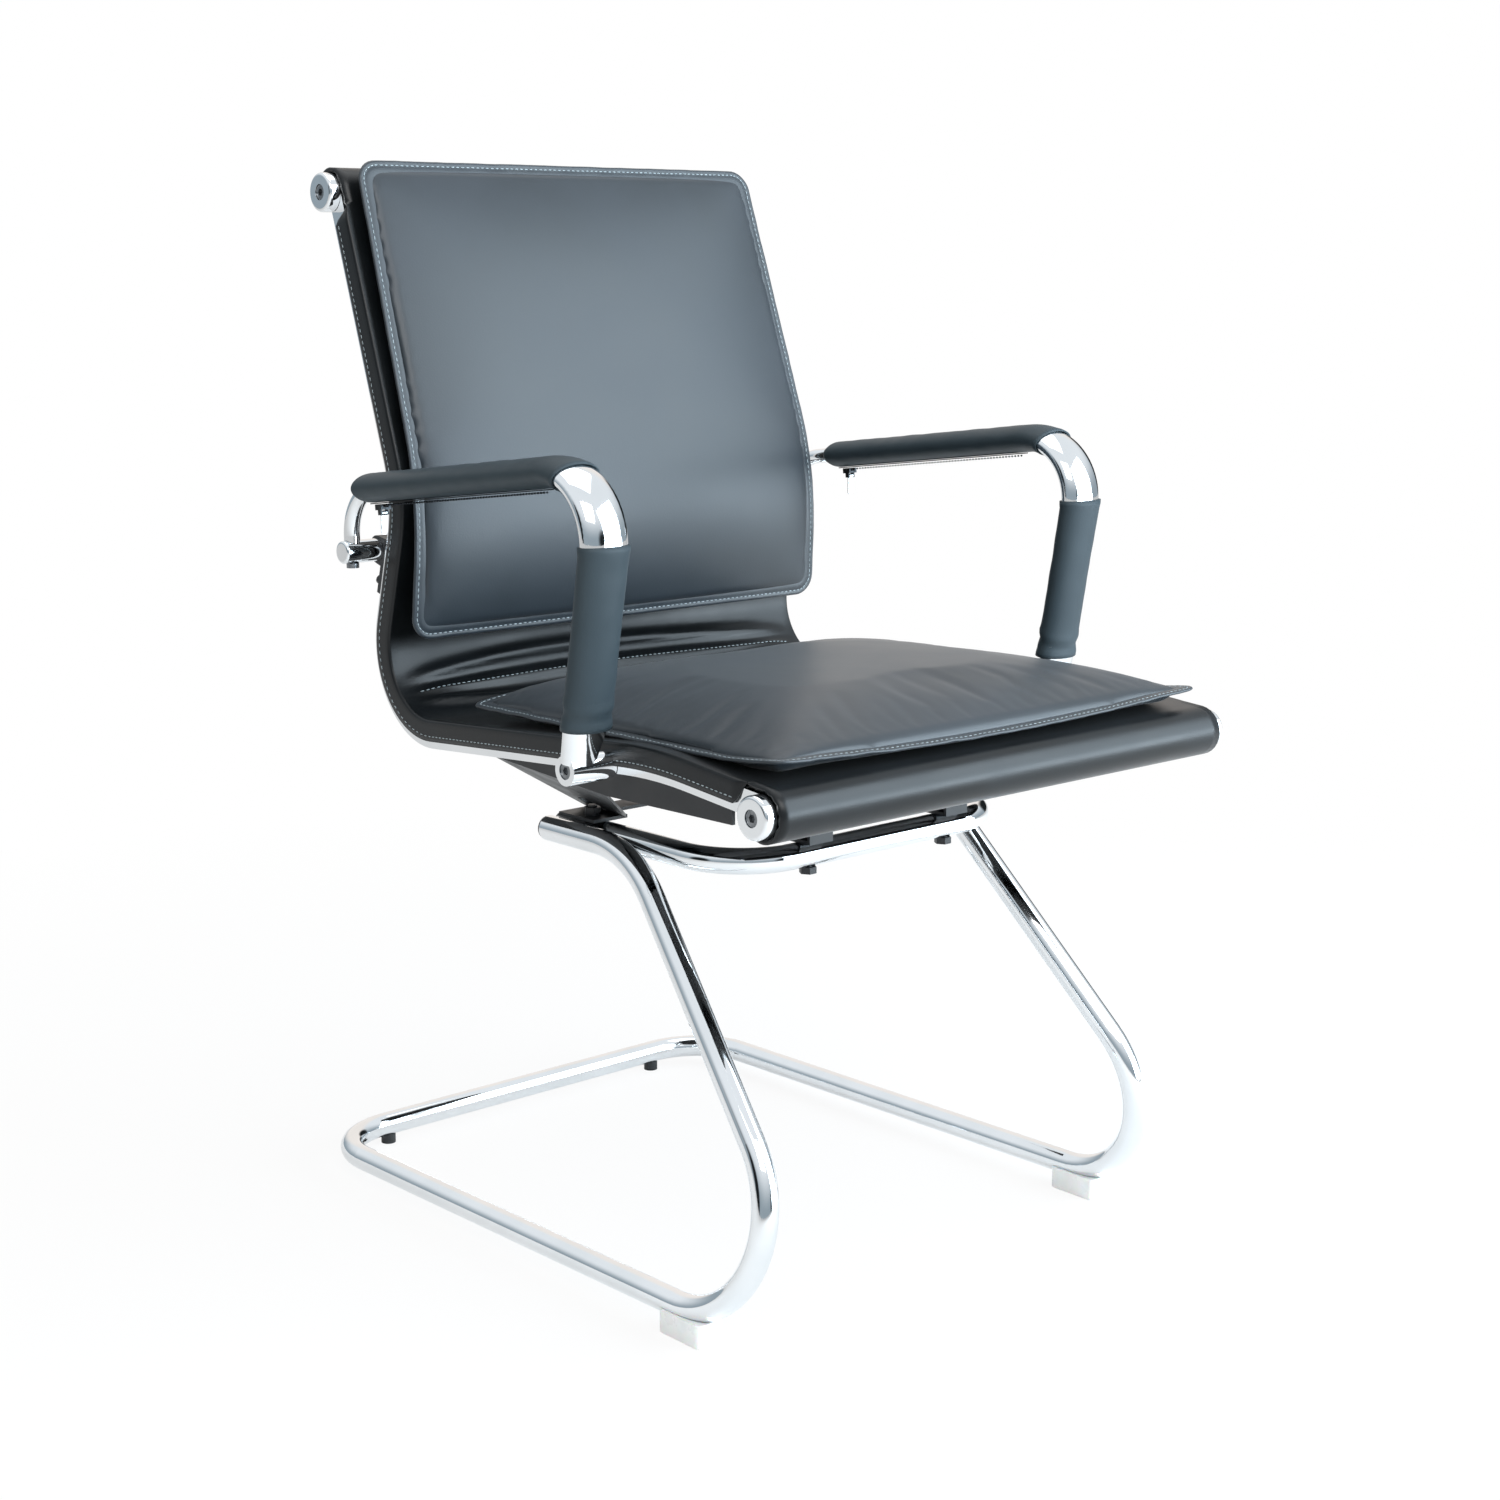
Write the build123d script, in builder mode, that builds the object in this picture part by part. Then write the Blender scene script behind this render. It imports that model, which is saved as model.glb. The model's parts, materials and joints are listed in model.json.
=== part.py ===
from build123d import *

import os
from math import acos, atan2, cos, degrees, hypot, radians, sin, tan

# Visitor chair on a cantilever sled base: a leatherette sling between two bent side rails,
# a seat pad and a back pad, looped arms with zipped covers.
# Millimetres, +Z up, the sitter faces -Y, so the sitter's left is +X. The floor is Z = 0.

# Sled base tube
tube_d = 22.0
tube_wall = 2.0
base_half_width = 237.0
leg_top_half_width = 181.6
rear_bar_y = 325.3
rear_foot_height = 7.8
front_corner_y = -393.4
front_corner_rise = 13.5
return_corner_y = -75.0
return_z = 366.0
return_end_y = 38.3
top_bend_r = 105.0
front_bend_r = 88.0
rear_bend_r = 66.0

# Hoop under the seat
hoop_front_y = -178.0
hoop_end_y = 45.0
hoop_bend_r = 62.0
weld_gap = 0.2

# Plugs, glides and feet
plug_head = 2.5
plug_taper = 20.0
plug_stem = 15.0
plug_clearance = 0.2
glide_front_y = -236.0
glide_rear_y = -185.0
glide_width = 27.0
glide_corner_r = 5.4
glide_chamfer = 1.0
glide_top = 20.0
clip_clearance = 0.2
rear_foot_x = 166.0
rear_foot_d = 14.0
foot_stem_d = 5.6
foot_stem_length = 6.0

# Profile of the sling's middle surface, (y, z) of its corners before rounding
profile_front = (-316.6, 465.0)
profile_rise = (-185.0, 476.5)
profile_hip = (214.9, 445.7)
profile_lumbar = (159.9, 640.3)
back_lean = 19.1
back_length = 283.3
rise_r = 500.0
hip_r = 60.0
lumbar_r = 130.0

# Side rails: flat tubes, each in an upright plane that toes in towards the back
rail_front_half_width = 255.0
rail_toe_in = 2.18
rail_width = 10.0
rail_depth = 20.0
rail_wall = 1.5
rail_eye_d = 31.0
rail_eye_margin = 0.8

# Sling and cross tubes
sling_t = 5.0
sling_gap = 0.5
pocket_gap = 0.3
lip_t = 2.5
lip_gap = 0.3
lip_edge_step = 0.3
lip_top_step = 1.0
rail_slot_gap = 0.2
lip_depth = 14.0
lip_end_gap = 26.0
tuck_d = 9.0
tuck_margin = 14.0
tuck_angles = (28.0, 50.0, 72.0)
cross_tube_d = 32.0
cross_tube_wall = 2.0
cross_plug_length = 14.0

# End caps and their screws
cap_d = 34.0
cap_t = 10.5
cap_edge_r = 3.0
cap_recess = 6.0
cap_screw_d = 8.0
cap_screw_head_d = 13.0
cap_screw_grip = 11.0
screw_clearance = 0.4
hex_key = 6.0
hex_depth_share = 0.6
screw_sink = 1.0

# Pressed-steel bracket under the seat
bracket_sheet = 3.0
bracket_front_y = -268.0
bracket_rear_y = 50.0
bracket_flange_cover = 10.0
bracket_front_low_z = 430.0
bracket_rear_low_z = 434.0
fan_top_y = -110.0
fan_low_z = 426.0
foot_front_y = -14.0
foot_rear_y = 34.0
foot_outer_x = 174.0
fan_foot_x = 138.5
wrench_hole_d = 24.0
strip_front_y = -200.0
strip_rear_y = -150.0
strip_z = 446.0
bracket_leg_x = 80.0
bracket_leg_width = 26.0
bracket_leg_foot = 32.0
bracket_seat_gap = 0.1
bracket_bolt_rear_y = 6.0
bracket_bolt_d = 8.0
bracket_bolt_head = 5.5
bracket_bolt_head_d = 15.0
bracket_nut_height = 6.5
rail_screw_d = 5.6
rail_screw_head_d = 10.0
rail_screw_head = 3.6
rail_screw_drop = 14.0
rail_screw_places_y = (-140.0, 25.0)

# Back brace and its brackets
brace_d = 20.0
brace_wall = 2.0
brace_end_margin = 6.5
brace_along = 145.0
brace_standoff = 13.0
brace_cap_t = 4.5
brace_cap_stem = 5.0
clamp_ring = 2.4
clamp_start = 108.0
clamp_end = 159.0
clamp_lug = 5.0
brace_screw_along = 118.0
brace_screw_d = 5.6
brace_screw_head_d = 9.0
brace_screw_head = 4.5
brace_screw_seat = 0.15

# Arms
arm_standoff = 26.2
arm_width = 44.0
arm_height = 22.0
arm_wall = 1.5
arm_foot_y = -127.0
arm_foot_drop = 16.0
arm_corner = (-169.2, 692.7)
arm_bend_r = 53.0
arm_rear_y = 150.0
arm_slope = 6.63
foot_boss_d = 24.0
foot_boss_reach = 17.0
foot_boss_gap = 0.9
foot_neck_width = 31.0
foot_neck_shift = 4.5
foot_neck_low = 6.0
foot_neck_high = 40.0
foot_screw_d = 6.0
foot_screw_head_d = 13.0
foot_screw_recess = 5.0
arm_end_plate = 6.0
link_inset = 13.5
link_d = 14.0
link_bend_r = 44.0
link_screw_d = 6.0
link_screw_head_d = 11.0
link_screw_head = 4.0
link_screw_grip = 14.0

# Leatherette covers on the arms
sleeve_t = 1.6
sleeve_gap = 0.2
arm_sleeve_wrap = 28.0
post_sleeve_wrap = 10.4
sleeve_end_t = 7.0
sleeve_end_r = 5.0
post_sleeve_low = 33.0

# Zip under each horizontal cover
zip_front_y = -86.0
zip_rear_y = 150.0
zip_tape_width = 14.0
zip_tape_t = 1.0
zip_neck_width = 2.0
zip_neck_height = 1.0
zip_coil_width = 4.8
zip_coil_height = 2.0
slider_y = 142.0
slider_length = 9.0
slider_width = 10.0
slider_floor = 1.9
slider_clearance = 0.35
ear_t = 1.2
ear_length = 4.4
pull_pin_d = 1.6
pull_pin_drop = 2.7
pull_eye_wall = 1.1
pull_eye_clearance = 0.3
pull_width = 5.0
pull_t = 1.4
pull_corner_r = 2.0
pull_length = 18.0
ear_gap = 0.4

# Pads: each is given by the line of its stitched border, (y, z)
pad_border = 9.0
pad_border_t = 3.2
pad_trim = 0.2
pad_base_gap = 0.6
pad_base_inset = 18.0
pad_belly = 13.0
pad_shoulder = 24.0
pad_shoulder_share = 0.74
pad_swell = 7.2
pad_swell_share = 0.45
pad_end_steps = (0.0, 11.0, 34.0)
pad_shares = (0.25, 0.36, 0.47)
pad_fullness = (0.05, 0.62, 0.93, 1.0, 1.0, 1.0)
pad_insets = (9.0, 2.0, 0.0, 0.0, 0.0, 0.0)
seat_pad_front = (-320.0, 486.0)
seat_pad_rear = (86.0, 477.0)
seat_pad_front_half = 246.0
seat_pad_rear_half = 228.0
seat_pad_corner_r = 13.0
seat_pad_rise = 26.0
back_pad_bottom = (156.5, 520.0)
back_pad_bend = (147.7, 643.0)
back_pad_lean = 18.2
back_pad_length = 301.0
back_pad_bend_r = 300.0
back_pad_bottom_half = 238.0
back_pad_top_half = 225.0
back_pad_corner_r = 18.0
back_pad_rise = 20.0

# Places worked out from the sizes above
tube_r = tube_d / 2
bore_r = tube_r - tube_wall
rear_bar_z = rear_foot_height + tube_r
front_corner_z = front_corner_rise + tube_r
hoop_x = leg_top_half_width - tube_d - weld_gap
hoop_top = return_z + tube_r
cross_tube_r = cross_tube_d / 2
roll_inner_r = cross_tube_r + pocket_gap
roll_outer_r = roll_inner_r + sling_t
roll_drop = roll_outer_r - sling_t / 2
rail_front_n = -sling_t / 2 - sling_gap
rail_rear_n = rail_front_n - rail_depth
rail_eye_r = rail_eye_d / 2
cap_r = cap_d / 2
brace_r = brace_d / 2
toe = radians(rail_toe_in)
room = 1000.0


def direction(start, end):
    """Unit vector from one (y, z) point to another."""
    length = hypot(end[0] - start[0], end[1] - start[1])
    return ((end[0] - start[0]) / length, (end[1] - start[1]) / length)


def shifted(point, along, distance, normal_distance=0.0):
    """Point moved along a (y, z) direction, and then towards the sitter's side of it."""
    y = point[0] + along[0] * distance - along[1] * normal_distance
    z = point[1] + along[1] * distance + along[0] * normal_distance
    return (y, z)


seat_front_dir = direction(profile_front, profile_rise)
seat_dir = direction(profile_rise, profile_hip)
lower_back_dir = direction(profile_hip, profile_lumbar)
upper_back_dir = (sin(radians(back_lean)), cos(radians(back_lean)))
profile_top = shifted(profile_lumbar, upper_back_dir, back_length)
front_tube = shifted(profile_front, seat_front_dir, 0, -roll_drop)
top_tube = shifted(profile_top, upper_back_dir, 0, -roll_drop)
profile_radii = (rise_r, hip_r, lumbar_r)


def seat_height(y):
    """Height of the sling's middle surface on the straight rear stretch of the seat."""
    return profile_rise[1] + (y - profile_rise[0]) * seat_dir[1] / seat_dir[0]


def front_seat_height(y):
    """Height of the sling's middle surface on the straight front stretch of the seat."""
    return profile_rise[1] + (y - profile_rise[0]) * seat_front_dir[1] / seat_front_dir[0]


def rail_x(y):
    """Outer face of the left rail at a depth y."""
    return rail_front_half_width - (y - profile_front[0]) * sin(toe) / cos(toe)


def side_plane(outward):
    """Upright plane parallel to the left rail, outward of its outer face; local x is y / cos(toe)."""
    normal = (cos(toe), sin(toe), 0)
    base = rail_x(0.0)
    origin = (base + outward * normal[0], outward * normal[1], 0)
    return Plane(origin=origin, x_dir=(-sin(toe), cos(toe), 0), z_dir=normal)


def on_side(point):
    """A (y, z) point in the local coordinates of a side plane."""
    return (point[0] / cos(toe), point[1])


def profile_points(trim=0.0):
    """Corners of the sling's profile, with both ends drawn in by trim."""
    first = shifted(profile_front, seat_front_dir, trim)
    last = shifted(profile_top, upper_back_dir, -trim)
    return (first, profile_rise, profile_hip, profile_lumbar, last)


def start_plane(path, across=(-1, 0, 0)):
    """Section plane at the start of a path, with its local y towards the sitter."""
    return Plane(origin=path @ 0, x_dir=across, z_dir=path % 0)


def rail_strip(inner, outer, low, high, trim=0.0):
    """A strip swept along the left rail's profile: outward range and range of height above the sling."""
    middle = side_plane((inner + outer) / 2)
    across = tuple(-part for part in middle.z_dir)
    with BuildPart() as strip:
        with BuildLine(middle) as line:
            FilletPolyline(*[on_side(point) for point in profile_points(trim)], radius=profile_radii)
        with BuildSketch(start_plane(line.wire(), across)):
            with Locations((0, (low + high) / 2)):
                Rectangle(outer - inner, high - low)
        sweep(path=line.wire())
    return strip.part


def cylinder_x(x_start, x_end, place, radius, mode=Mode.ADD):
    """A round bar along X between two x values, at a (y, z) place."""
    with BuildSketch(Plane.YZ.offset(x_start)) as disc:
        with Locations(place):
            Circle(radius)
    extrude(disc.sketch, amount=x_end - x_start, mode=mode)


def mirrored(part):
    """The same piece on the other side of the chair."""
    with BuildPart() as other:
        mirror(part, about=Plane.YZ)
    return other.part


def both_sides(part):
    """The piece and its mirror image as two separate solids."""
    with BuildPart() as pair:
        add(part)
        mirror(part, about=Plane.YZ)
    return pair.part


# The arms stand off the rails, and the brace reaches as far as the arms' rear links
arm_x = rail_x(arm_foot_y) + arm_standoff
foot_boss_outer_x = arm_x + foot_boss_reach
link_x = arm_x - link_inset
brace_half_length = link_x + brace_end_margin

nodes = {}


def keep(name, part):
    """Remember a finished piece under its node name."""
    part.label = name
    nodes[name] = part


# Sled frame
sled_half = (
    (leg_top_half_width, return_end_y, return_z),
    (leg_top_half_width, return_corner_y, return_z),
    (base_half_width, front_corner_y, front_corner_z),
    (base_half_width, rear_bar_y, rear_bar_z),
)
sled_points = sled_half + tuple((-x, y, z) for x, y, z in reversed(sled_half))
sled_radii = (top_bend_r, front_bend_r, rear_bend_r, rear_bend_r, front_bend_r, top_bend_r)


def sled_bar(radius, inner_radius=0.0):
    """A bar or tube along the sled's centre line."""
    with BuildPart() as bar:
        with BuildLine() as line:
            FilletPolyline(*sled_points, radius=sled_radii)
        with BuildSketch(start_plane(line.wire())):
            Circle(radius)
            if inner_radius:
                Circle(inner_radius, mode=Mode.SUBTRACT)
        sweep(path=line.wire())
    return bar.part


with BuildPart() as sled_frame:
    add(sled_bar(tube_r, bore_r))
    with Locations(*[(side * rear_foot_x, rear_bar_y, rear_foot_height) for side in (1, -1)]):
        Cylinder(foot_stem_d / 2 + plug_clearance, 4 * tube_wall, mode=Mode.SUBTRACT)
keep("sled_frame", sled_frame.part)

# Hoop welded between the top returns, with holes for the bracket bolts
hoop_points = (
    (hoop_x, hoop_end_y, return_z),
    (hoop_x, hoop_front_y, return_z),
    (-hoop_x, hoop_front_y, return_z),
    (-hoop_x, hoop_end_y, return_z),
)
bracket_bolt_places = (
    (bracket_leg_x, hoop_front_y),
    (-bracket_leg_x, hoop_front_y),
    (hoop_x, bracket_bolt_rear_y),
    (-hoop_x, bracket_bolt_rear_y),
)
with BuildPart() as seat_support_hoop:
    with BuildLine() as hoop_line:
        FilletPolyline(*hoop_points, radius=hoop_bend_r)
    with BuildSketch(start_plane(hoop_line.wire())):
        Circle(tube_r)
        Circle(bore_r, mode=Mode.SUBTRACT)
    sweep(path=hoop_line.wire())
    with BuildSketch(Plane.XY.offset(return_z - tube_d)):
        with Locations(*bracket_bolt_places):
            Circle(bracket_bolt_d / 2 + screw_clearance)
    extrude(amount=2 * tube_d, mode=Mode.SUBTRACT)
keep("seat_support_hoop", seat_support_hoop.part)


def tube_plugs(x, end_y):
    """A pair of plugs closing the two rear-facing tube ends."""
    with BuildPart() as plug:
        with BuildSketch(Plane(origin=(x, end_y, return_z), x_dir=(1, 0, 0), z_dir=(0, 1, 0))):
            Circle(tube_r)
        extrude(amount=plug_head, taper=plug_taper)
        with BuildSketch(Plane(origin=(x, end_y, return_z), x_dir=(1, 0, 0), z_dir=(0, -1, 0))):
            Circle(bore_r - plug_clearance)
        extrude(amount=plug_stem)
    return both_sides(plug.part)


keep("leg_end_plugs", tube_plugs(leg_top_half_width, return_end_y))
keep("hoop_end_plugs", tube_plugs(hoop_x, hoop_end_y))

# Clip-on glides under the front bends
with BuildPart() as front_glide:
    with BuildSketch():
        with Locations((base_half_width, (glide_front_y + glide_rear_y) / 2)):
            RectangleRounded(glide_width, glide_rear_y - glide_front_y, glide_corner_r)
    extrude(amount=glide_top)
    chamfer(front_glide.edges().group_by(Axis.Z)[0], length=glide_chamfer)
    add(sled_bar(tube_r + clip_clearance), mode=Mode.SUBTRACT)
keep("front_glide_left", front_glide.part)
keep("front_glide_right", mirrored(front_glide.part))

# Stud feet pushed into the rear bar
with BuildPart() as rear_foot:
    with Locations((rear_foot_x, rear_bar_y, 0)):
        Cylinder(rear_foot_d / 2, rear_bar_z - bore_r, align=(Align.CENTER, Align.CENTER, Align.MIN))
    add(sled_bar(tube_r + clip_clearance), mode=Mode.SUBTRACT)
    with Locations((rear_foot_x, rear_bar_y, rear_foot_height - tube_wall)):
        stem_height = 2 * tube_wall + foot_stem_length
        Cylinder(foot_stem_d / 2, stem_height, align=(Align.CENTER, Align.CENTER, Align.MIN))
keep("rear_feet", both_sides(rear_foot.part))

# Side rails with an eye at each end and the holes for everything that fastens to them
brace_foot = shifted(profile_hip, lower_back_dir, brace_along)
brace_centre = shifted(brace_foot, lower_back_dir, 0, rail_rear_n - brace_standoff)
arm_foot = (arm_foot_y, seat_height(arm_foot_y) - arm_foot_drop)
rail_screw_places = tuple((y, seat_height(y) - rail_screw_drop) for y in rail_screw_places_y)
brace_screw_place = shifted(profile_hip, lower_back_dir, brace_screw_along, rail_rear_n)
brace_screw_plane = Plane(
    origin=side_plane(-rail_width / 2).from_local_coords((*on_side(brace_screw_place), 0)),
    x_dir=side_plane(0).z_dir,
    z_dir=(-sin(toe) * lower_back_dir[1], cos(toe) * lower_back_dir[1], -lower_back_dir[0]),
)
with BuildPart() as side_rail:
    add(rail_strip(-rail_width, 0, rail_rear_n, rail_front_n))
    add(
        rail_strip(rail_wall - rail_width, -rail_wall, rail_rear_n + rail_wall, rail_front_n - rail_wall),
        mode=Mode.SUBTRACT,
    )
    for tube_place in (front_tube, top_tube):
        eye_x = rail_x(tube_place[0])
        cylinder_x(eye_x - rail_width - rail_eye_margin, eye_x + rail_eye_margin, tube_place, rail_eye_r)
        cylinder_x(eye_x - 2 * rail_width, eye_x + rail_width, tube_place,
                   cap_screw_d / 2 + screw_clearance, Mode.SUBTRACT)
    cylinder_x(rail_x(arm_foot_y) - rail_width / 2, foot_boss_outer_x, arm_foot,
               foot_screw_d / 2 + screw_clearance, Mode.SUBTRACT)
    with BuildSketch(side_plane(-rail_width / 2)):
        with Locations(*[on_side(place) for place in rail_screw_places]):
            Circle(rail_screw_d / 2 + screw_clearance)
    extrude(amount=-rail_width, mode=Mode.SUBTRACT)
    with BuildSketch(brace_screw_plane):
        Circle(brace_screw_d / 2 + screw_clearance)
    extrude(amount=-rail_depth / 2, mode=Mode.SUBTRACT)
keep("side_rail_left", side_rail.part)
keep("side_rail_right", mirrored(side_rail.part))


def cross_tube(place):
    """A tube between the two rails, with a threaded plug in each end."""
    half = rail_x(place[0]) - rail_width - rail_eye_margin
    with BuildPart() as tube:
        cylinder_x(-half, half, place, cross_tube_r)
        cylinder_x(cross_plug_length - half, half - cross_plug_length, place,
                   cross_tube_r - cross_tube_wall, Mode.SUBTRACT)
        cylinder_x(-half, half, place, cap_screw_d / 2 + screw_clearance / 2, Mode.SUBTRACT)
    return tube.part


keep("front_cross_tube", cross_tube(front_tube))
keep("top_cross_tube", cross_tube(top_tube))


def end_cap(place):
    """The left disc over a rail end, with a recess for its screw."""
    seat = rail_x(place[0]) + rail_eye_margin
    with BuildPart() as cap:
        cylinder_x(seat, seat + cap_t, place, cap_r)
        fillet(cap.faces().sort_by(Axis.X)[-1].edges(), radius=cap_edge_r)
        cylinder_x(seat + cap_t - cap_recess, seat + cap_t, place,
                   cap_screw_head_d / 2 + screw_clearance, Mode.SUBTRACT)
        cylinder_x(seat, seat + cap_t, place, cap_screw_d / 2 + screw_clearance, Mode.SUBTRACT)
    return cap.part


def socket_screw_x(head_start, head_end, tip, place, head_d, shank_d, key):
    """A hex-socket screw along X whose head faces outward on the left side."""
    with BuildPart() as screw:
        cylinder_x(head_start, head_end, place, head_d / 2)
        cylinder_x(tip, head_start, place, shank_d / 2)
        with BuildSketch(Plane.YZ.offset(head_end)):
            with Locations(place):
                RegularPolygon(key / 2, 6, major_radius=False)
        extrude(amount=(head_start - head_end) * hex_depth_share, mode=Mode.SUBTRACT)
    return screw.part


def end_cap_screw(place):
    """The left screw of one cross tube."""
    seat = rail_x(place[0]) + rail_eye_margin
    head = seat + cap_t - cap_recess
    tip = seat - rail_width - 2 * rail_eye_margin - cap_screw_grip
    face = seat + cap_t - screw_sink
    return socket_screw_x(head, face, tip, place, cap_screw_head_d, cap_screw_d, hex_key)


for end_name, tube_place in (("front", front_tube), ("top", top_tube)):
    keep(f"{end_name}_end_cap_left", end_cap(tube_place))
    keep(f"{end_name}_end_cap_right", mirrored(end_cap(tube_place)))
with BuildPart() as end_cap_screws:
    for tube_place in (front_tube, top_tube):
        add(both_sides(end_cap_screw(tube_place)))
keep("end_cap_screws", end_cap_screws.part)

# Pressed bracket: flanges on the rails, fans down to the hoop's arms, legs down to its front bar
bracket_floor = hoop_top + bracket_seat_gap
bracket_top = bracket_floor + bracket_sheet
inner_face = side_plane(-rail_width)
flange_corners = (
    (bracket_front_y, bracket_front_low_z),
    (fan_top_y, fan_low_z),
    (bracket_rear_y, bracket_rear_low_z),
    (bracket_rear_y, seat_height(bracket_rear_y) - bracket_flange_cover),
    (profile_rise[0], profile_rise[1] - bracket_flange_cover),
    (bracket_front_y, front_seat_height(bracket_front_y) - bracket_flange_cover),
)
fan_top = [on_side((fan_top_y, fan_low_z)), on_side((bracket_rear_y, bracket_rear_low_z))]
with BuildPart() as bracket_side:
    with BuildSketch(inner_face):
        Polygon(*[on_side(corner) for corner in flange_corners], align=None)
    extrude(amount=-bracket_sheet)
    with BuildSketch(Plane.YZ.offset(fan_foot_x)):
        Polygon((foot_front_y, bracket_floor), (foot_rear_y, bracket_floor), (foot_rear_y, bracket_top),
                (foot_front_y, bracket_top), align=None)
    with BuildSketch(inner_face):
        Polygon(fan_top[0], fan_top[1], (fan_top[1][0], fan_top[1][1] + bracket_sheet),
                (fan_top[0][0], fan_top[0][1] + bracket_sheet), align=None)
    loft(ruled=True)
    with BuildSketch(Plane.XY.offset(bracket_floor)):
        with Locations((hoop_x, bracket_bolt_rear_y)):
            Circle(wrench_hole_d / 2)
    extrude(amount=wrench_hole_d, mode=Mode.SUBTRACT)
    with BuildSketch(Plane.XY.offset(bracket_floor)):
        with Locations((bracket_leg_x, hoop_front_y)):
            Rectangle(bracket_leg_width, bracket_leg_foot)
    extrude(amount=bracket_sheet)
    with BuildSketch(Plane.XY.offset(bracket_floor)):
        with Locations((bracket_leg_x, hoop_front_y - bracket_leg_foot / 2 + bracket_sheet / 2)):
            Rectangle(bracket_leg_width, bracket_sheet)
    extrude(amount=strip_z + bracket_sheet - bracket_floor)
    with BuildSketch(inner_face):
        with Locations(*[on_side(place) for place in rail_screw_places]):
            Circle(rail_screw_d / 2 + screw_clearance)
    extrude(amount=-2 * rail_screw_head_d, mode=Mode.SUBTRACT)
strip_half = rail_x(strip_rear_y) - rail_width - weld_gap
with BuildPart() as seat_bracket:
    add(bracket_side.part)
    mirror(bracket_side.part, about=Plane.YZ)
    with BuildSketch(Plane.XY.offset(strip_z)):
        with Locations((0, (strip_front_y + strip_rear_y) / 2)):
            Rectangle(2 * strip_half, strip_rear_y - strip_front_y)
    extrude(amount=bracket_sheet)
    with BuildSketch(Plane.XY.offset(bracket_floor)):
        with Locations((0, (foot_front_y + foot_rear_y) / 2)):
            Rectangle(2 * foot_outer_x, foot_rear_y - foot_front_y)
        with Locations((0, foot_front_y)):
            Rectangle(2 * (hoop_x - tube_d), foot_rear_y - foot_front_y, mode=Mode.SUBTRACT)
    extrude(amount=bracket_sheet)
    with BuildSketch(Plane.XY.offset(bracket_floor)):
        with Locations(*bracket_bolt_places):
            Circle(bracket_bolt_d / 2 + screw_clearance)
    extrude(amount=bracket_sheet, mode=Mode.SUBTRACT)
keep("seat_bracket", seat_bracket.part)

with BuildPart() as bracket_bolts:
    with BuildSketch(Plane.XY.offset(return_z - tube_r - bracket_bolt_head)):
        with Locations(*bracket_bolt_places):
            RegularPolygon(bracket_bolt_head_d / 2, 6)
    extrude(amount=bracket_bolt_head)
    with BuildSketch(Plane.XY.offset(return_z - tube_r)):
        with Locations(*bracket_bolt_places):
            Circle(bracket_bolt_d / 2)
    extrude(amount=bracket_top + bracket_nut_height + tube_wall - return_z + tube_r)
keep("bracket_bolts", bracket_bolts.part)
with BuildPart() as bracket_nuts:
    with BuildSketch(Plane.XY.offset(bracket_top)):
        with Locations(*bracket_bolt_places):
            RegularPolygon(bracket_bolt_head_d / 2, 6)
            Circle(bracket_bolt_d / 2 + screw_clearance / 4, mode=Mode.SUBTRACT)
    extrude(amount=bracket_nut_height)
keep("bracket_nuts", bracket_nuts.part)
with BuildPart() as bracket_rail_screw:
    with BuildSketch(side_plane(-rail_width - bracket_sheet)):
        with Locations(*[on_side(place) for place in rail_screw_places]):
            Circle(rail_screw_head_d / 2)
    extrude(amount=-rail_screw_head)
    with BuildSketch(side_plane(-rail_width - bracket_sheet)):
        with Locations(*[on_side(place) for place in rail_screw_places]):
            Circle(rail_screw_d / 2)
    extrude(amount=bracket_sheet + rail_width / 2)
keep("bracket_rail_screws", both_sides(bracket_rail_screw.part))

# Brace tube behind the back, its end caps and the brackets that hold it to the rails
with BuildPart() as back_brace:
    cylinder_x(-brace_half_length, brace_half_length, brace_centre, brace_r)
    cylinder_x(-brace_half_length, brace_half_length, brace_centre, brace_r - brace_wall, Mode.SUBTRACT)
    with BuildSketch(Plane.XY.offset(brace_centre[1] - brace_d)):
        with Locations((link_x, brace_centre[0]), (-link_x, brace_centre[0])):
            Circle(link_screw_d / 2 + screw_clearance)
    extrude(amount=2 * brace_d, mode=Mode.SUBTRACT)
keep("back_brace", back_brace.part)
with BuildPart() as brace_end_cap:
    cylinder_x(brace_half_length, brace_half_length + brace_cap_t, brace_centre, brace_r)
    fillet(brace_end_cap.faces().sort_by(Axis.X)[-1].edges(), radius=brace_cap_t / 2)
    cylinder_x(brace_half_length - brace_cap_stem + tube_wall, brace_half_length, brace_centre,
               brace_r - brace_wall - plug_clearance)
keep("brace_end_cap_left", brace_end_cap.part)
keep("brace_end_cap_right", mirrored(brace_end_cap.part))


def behind_rail(along, standoff):
    """A place behind the straight lower-back stretch of the rail, in side-plane coordinates."""
    foot = shifted(profile_hip, lower_back_dir, along)
    return on_side(shifted(foot, lower_back_dir, 0, rail_rear_n - standoff))


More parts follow.
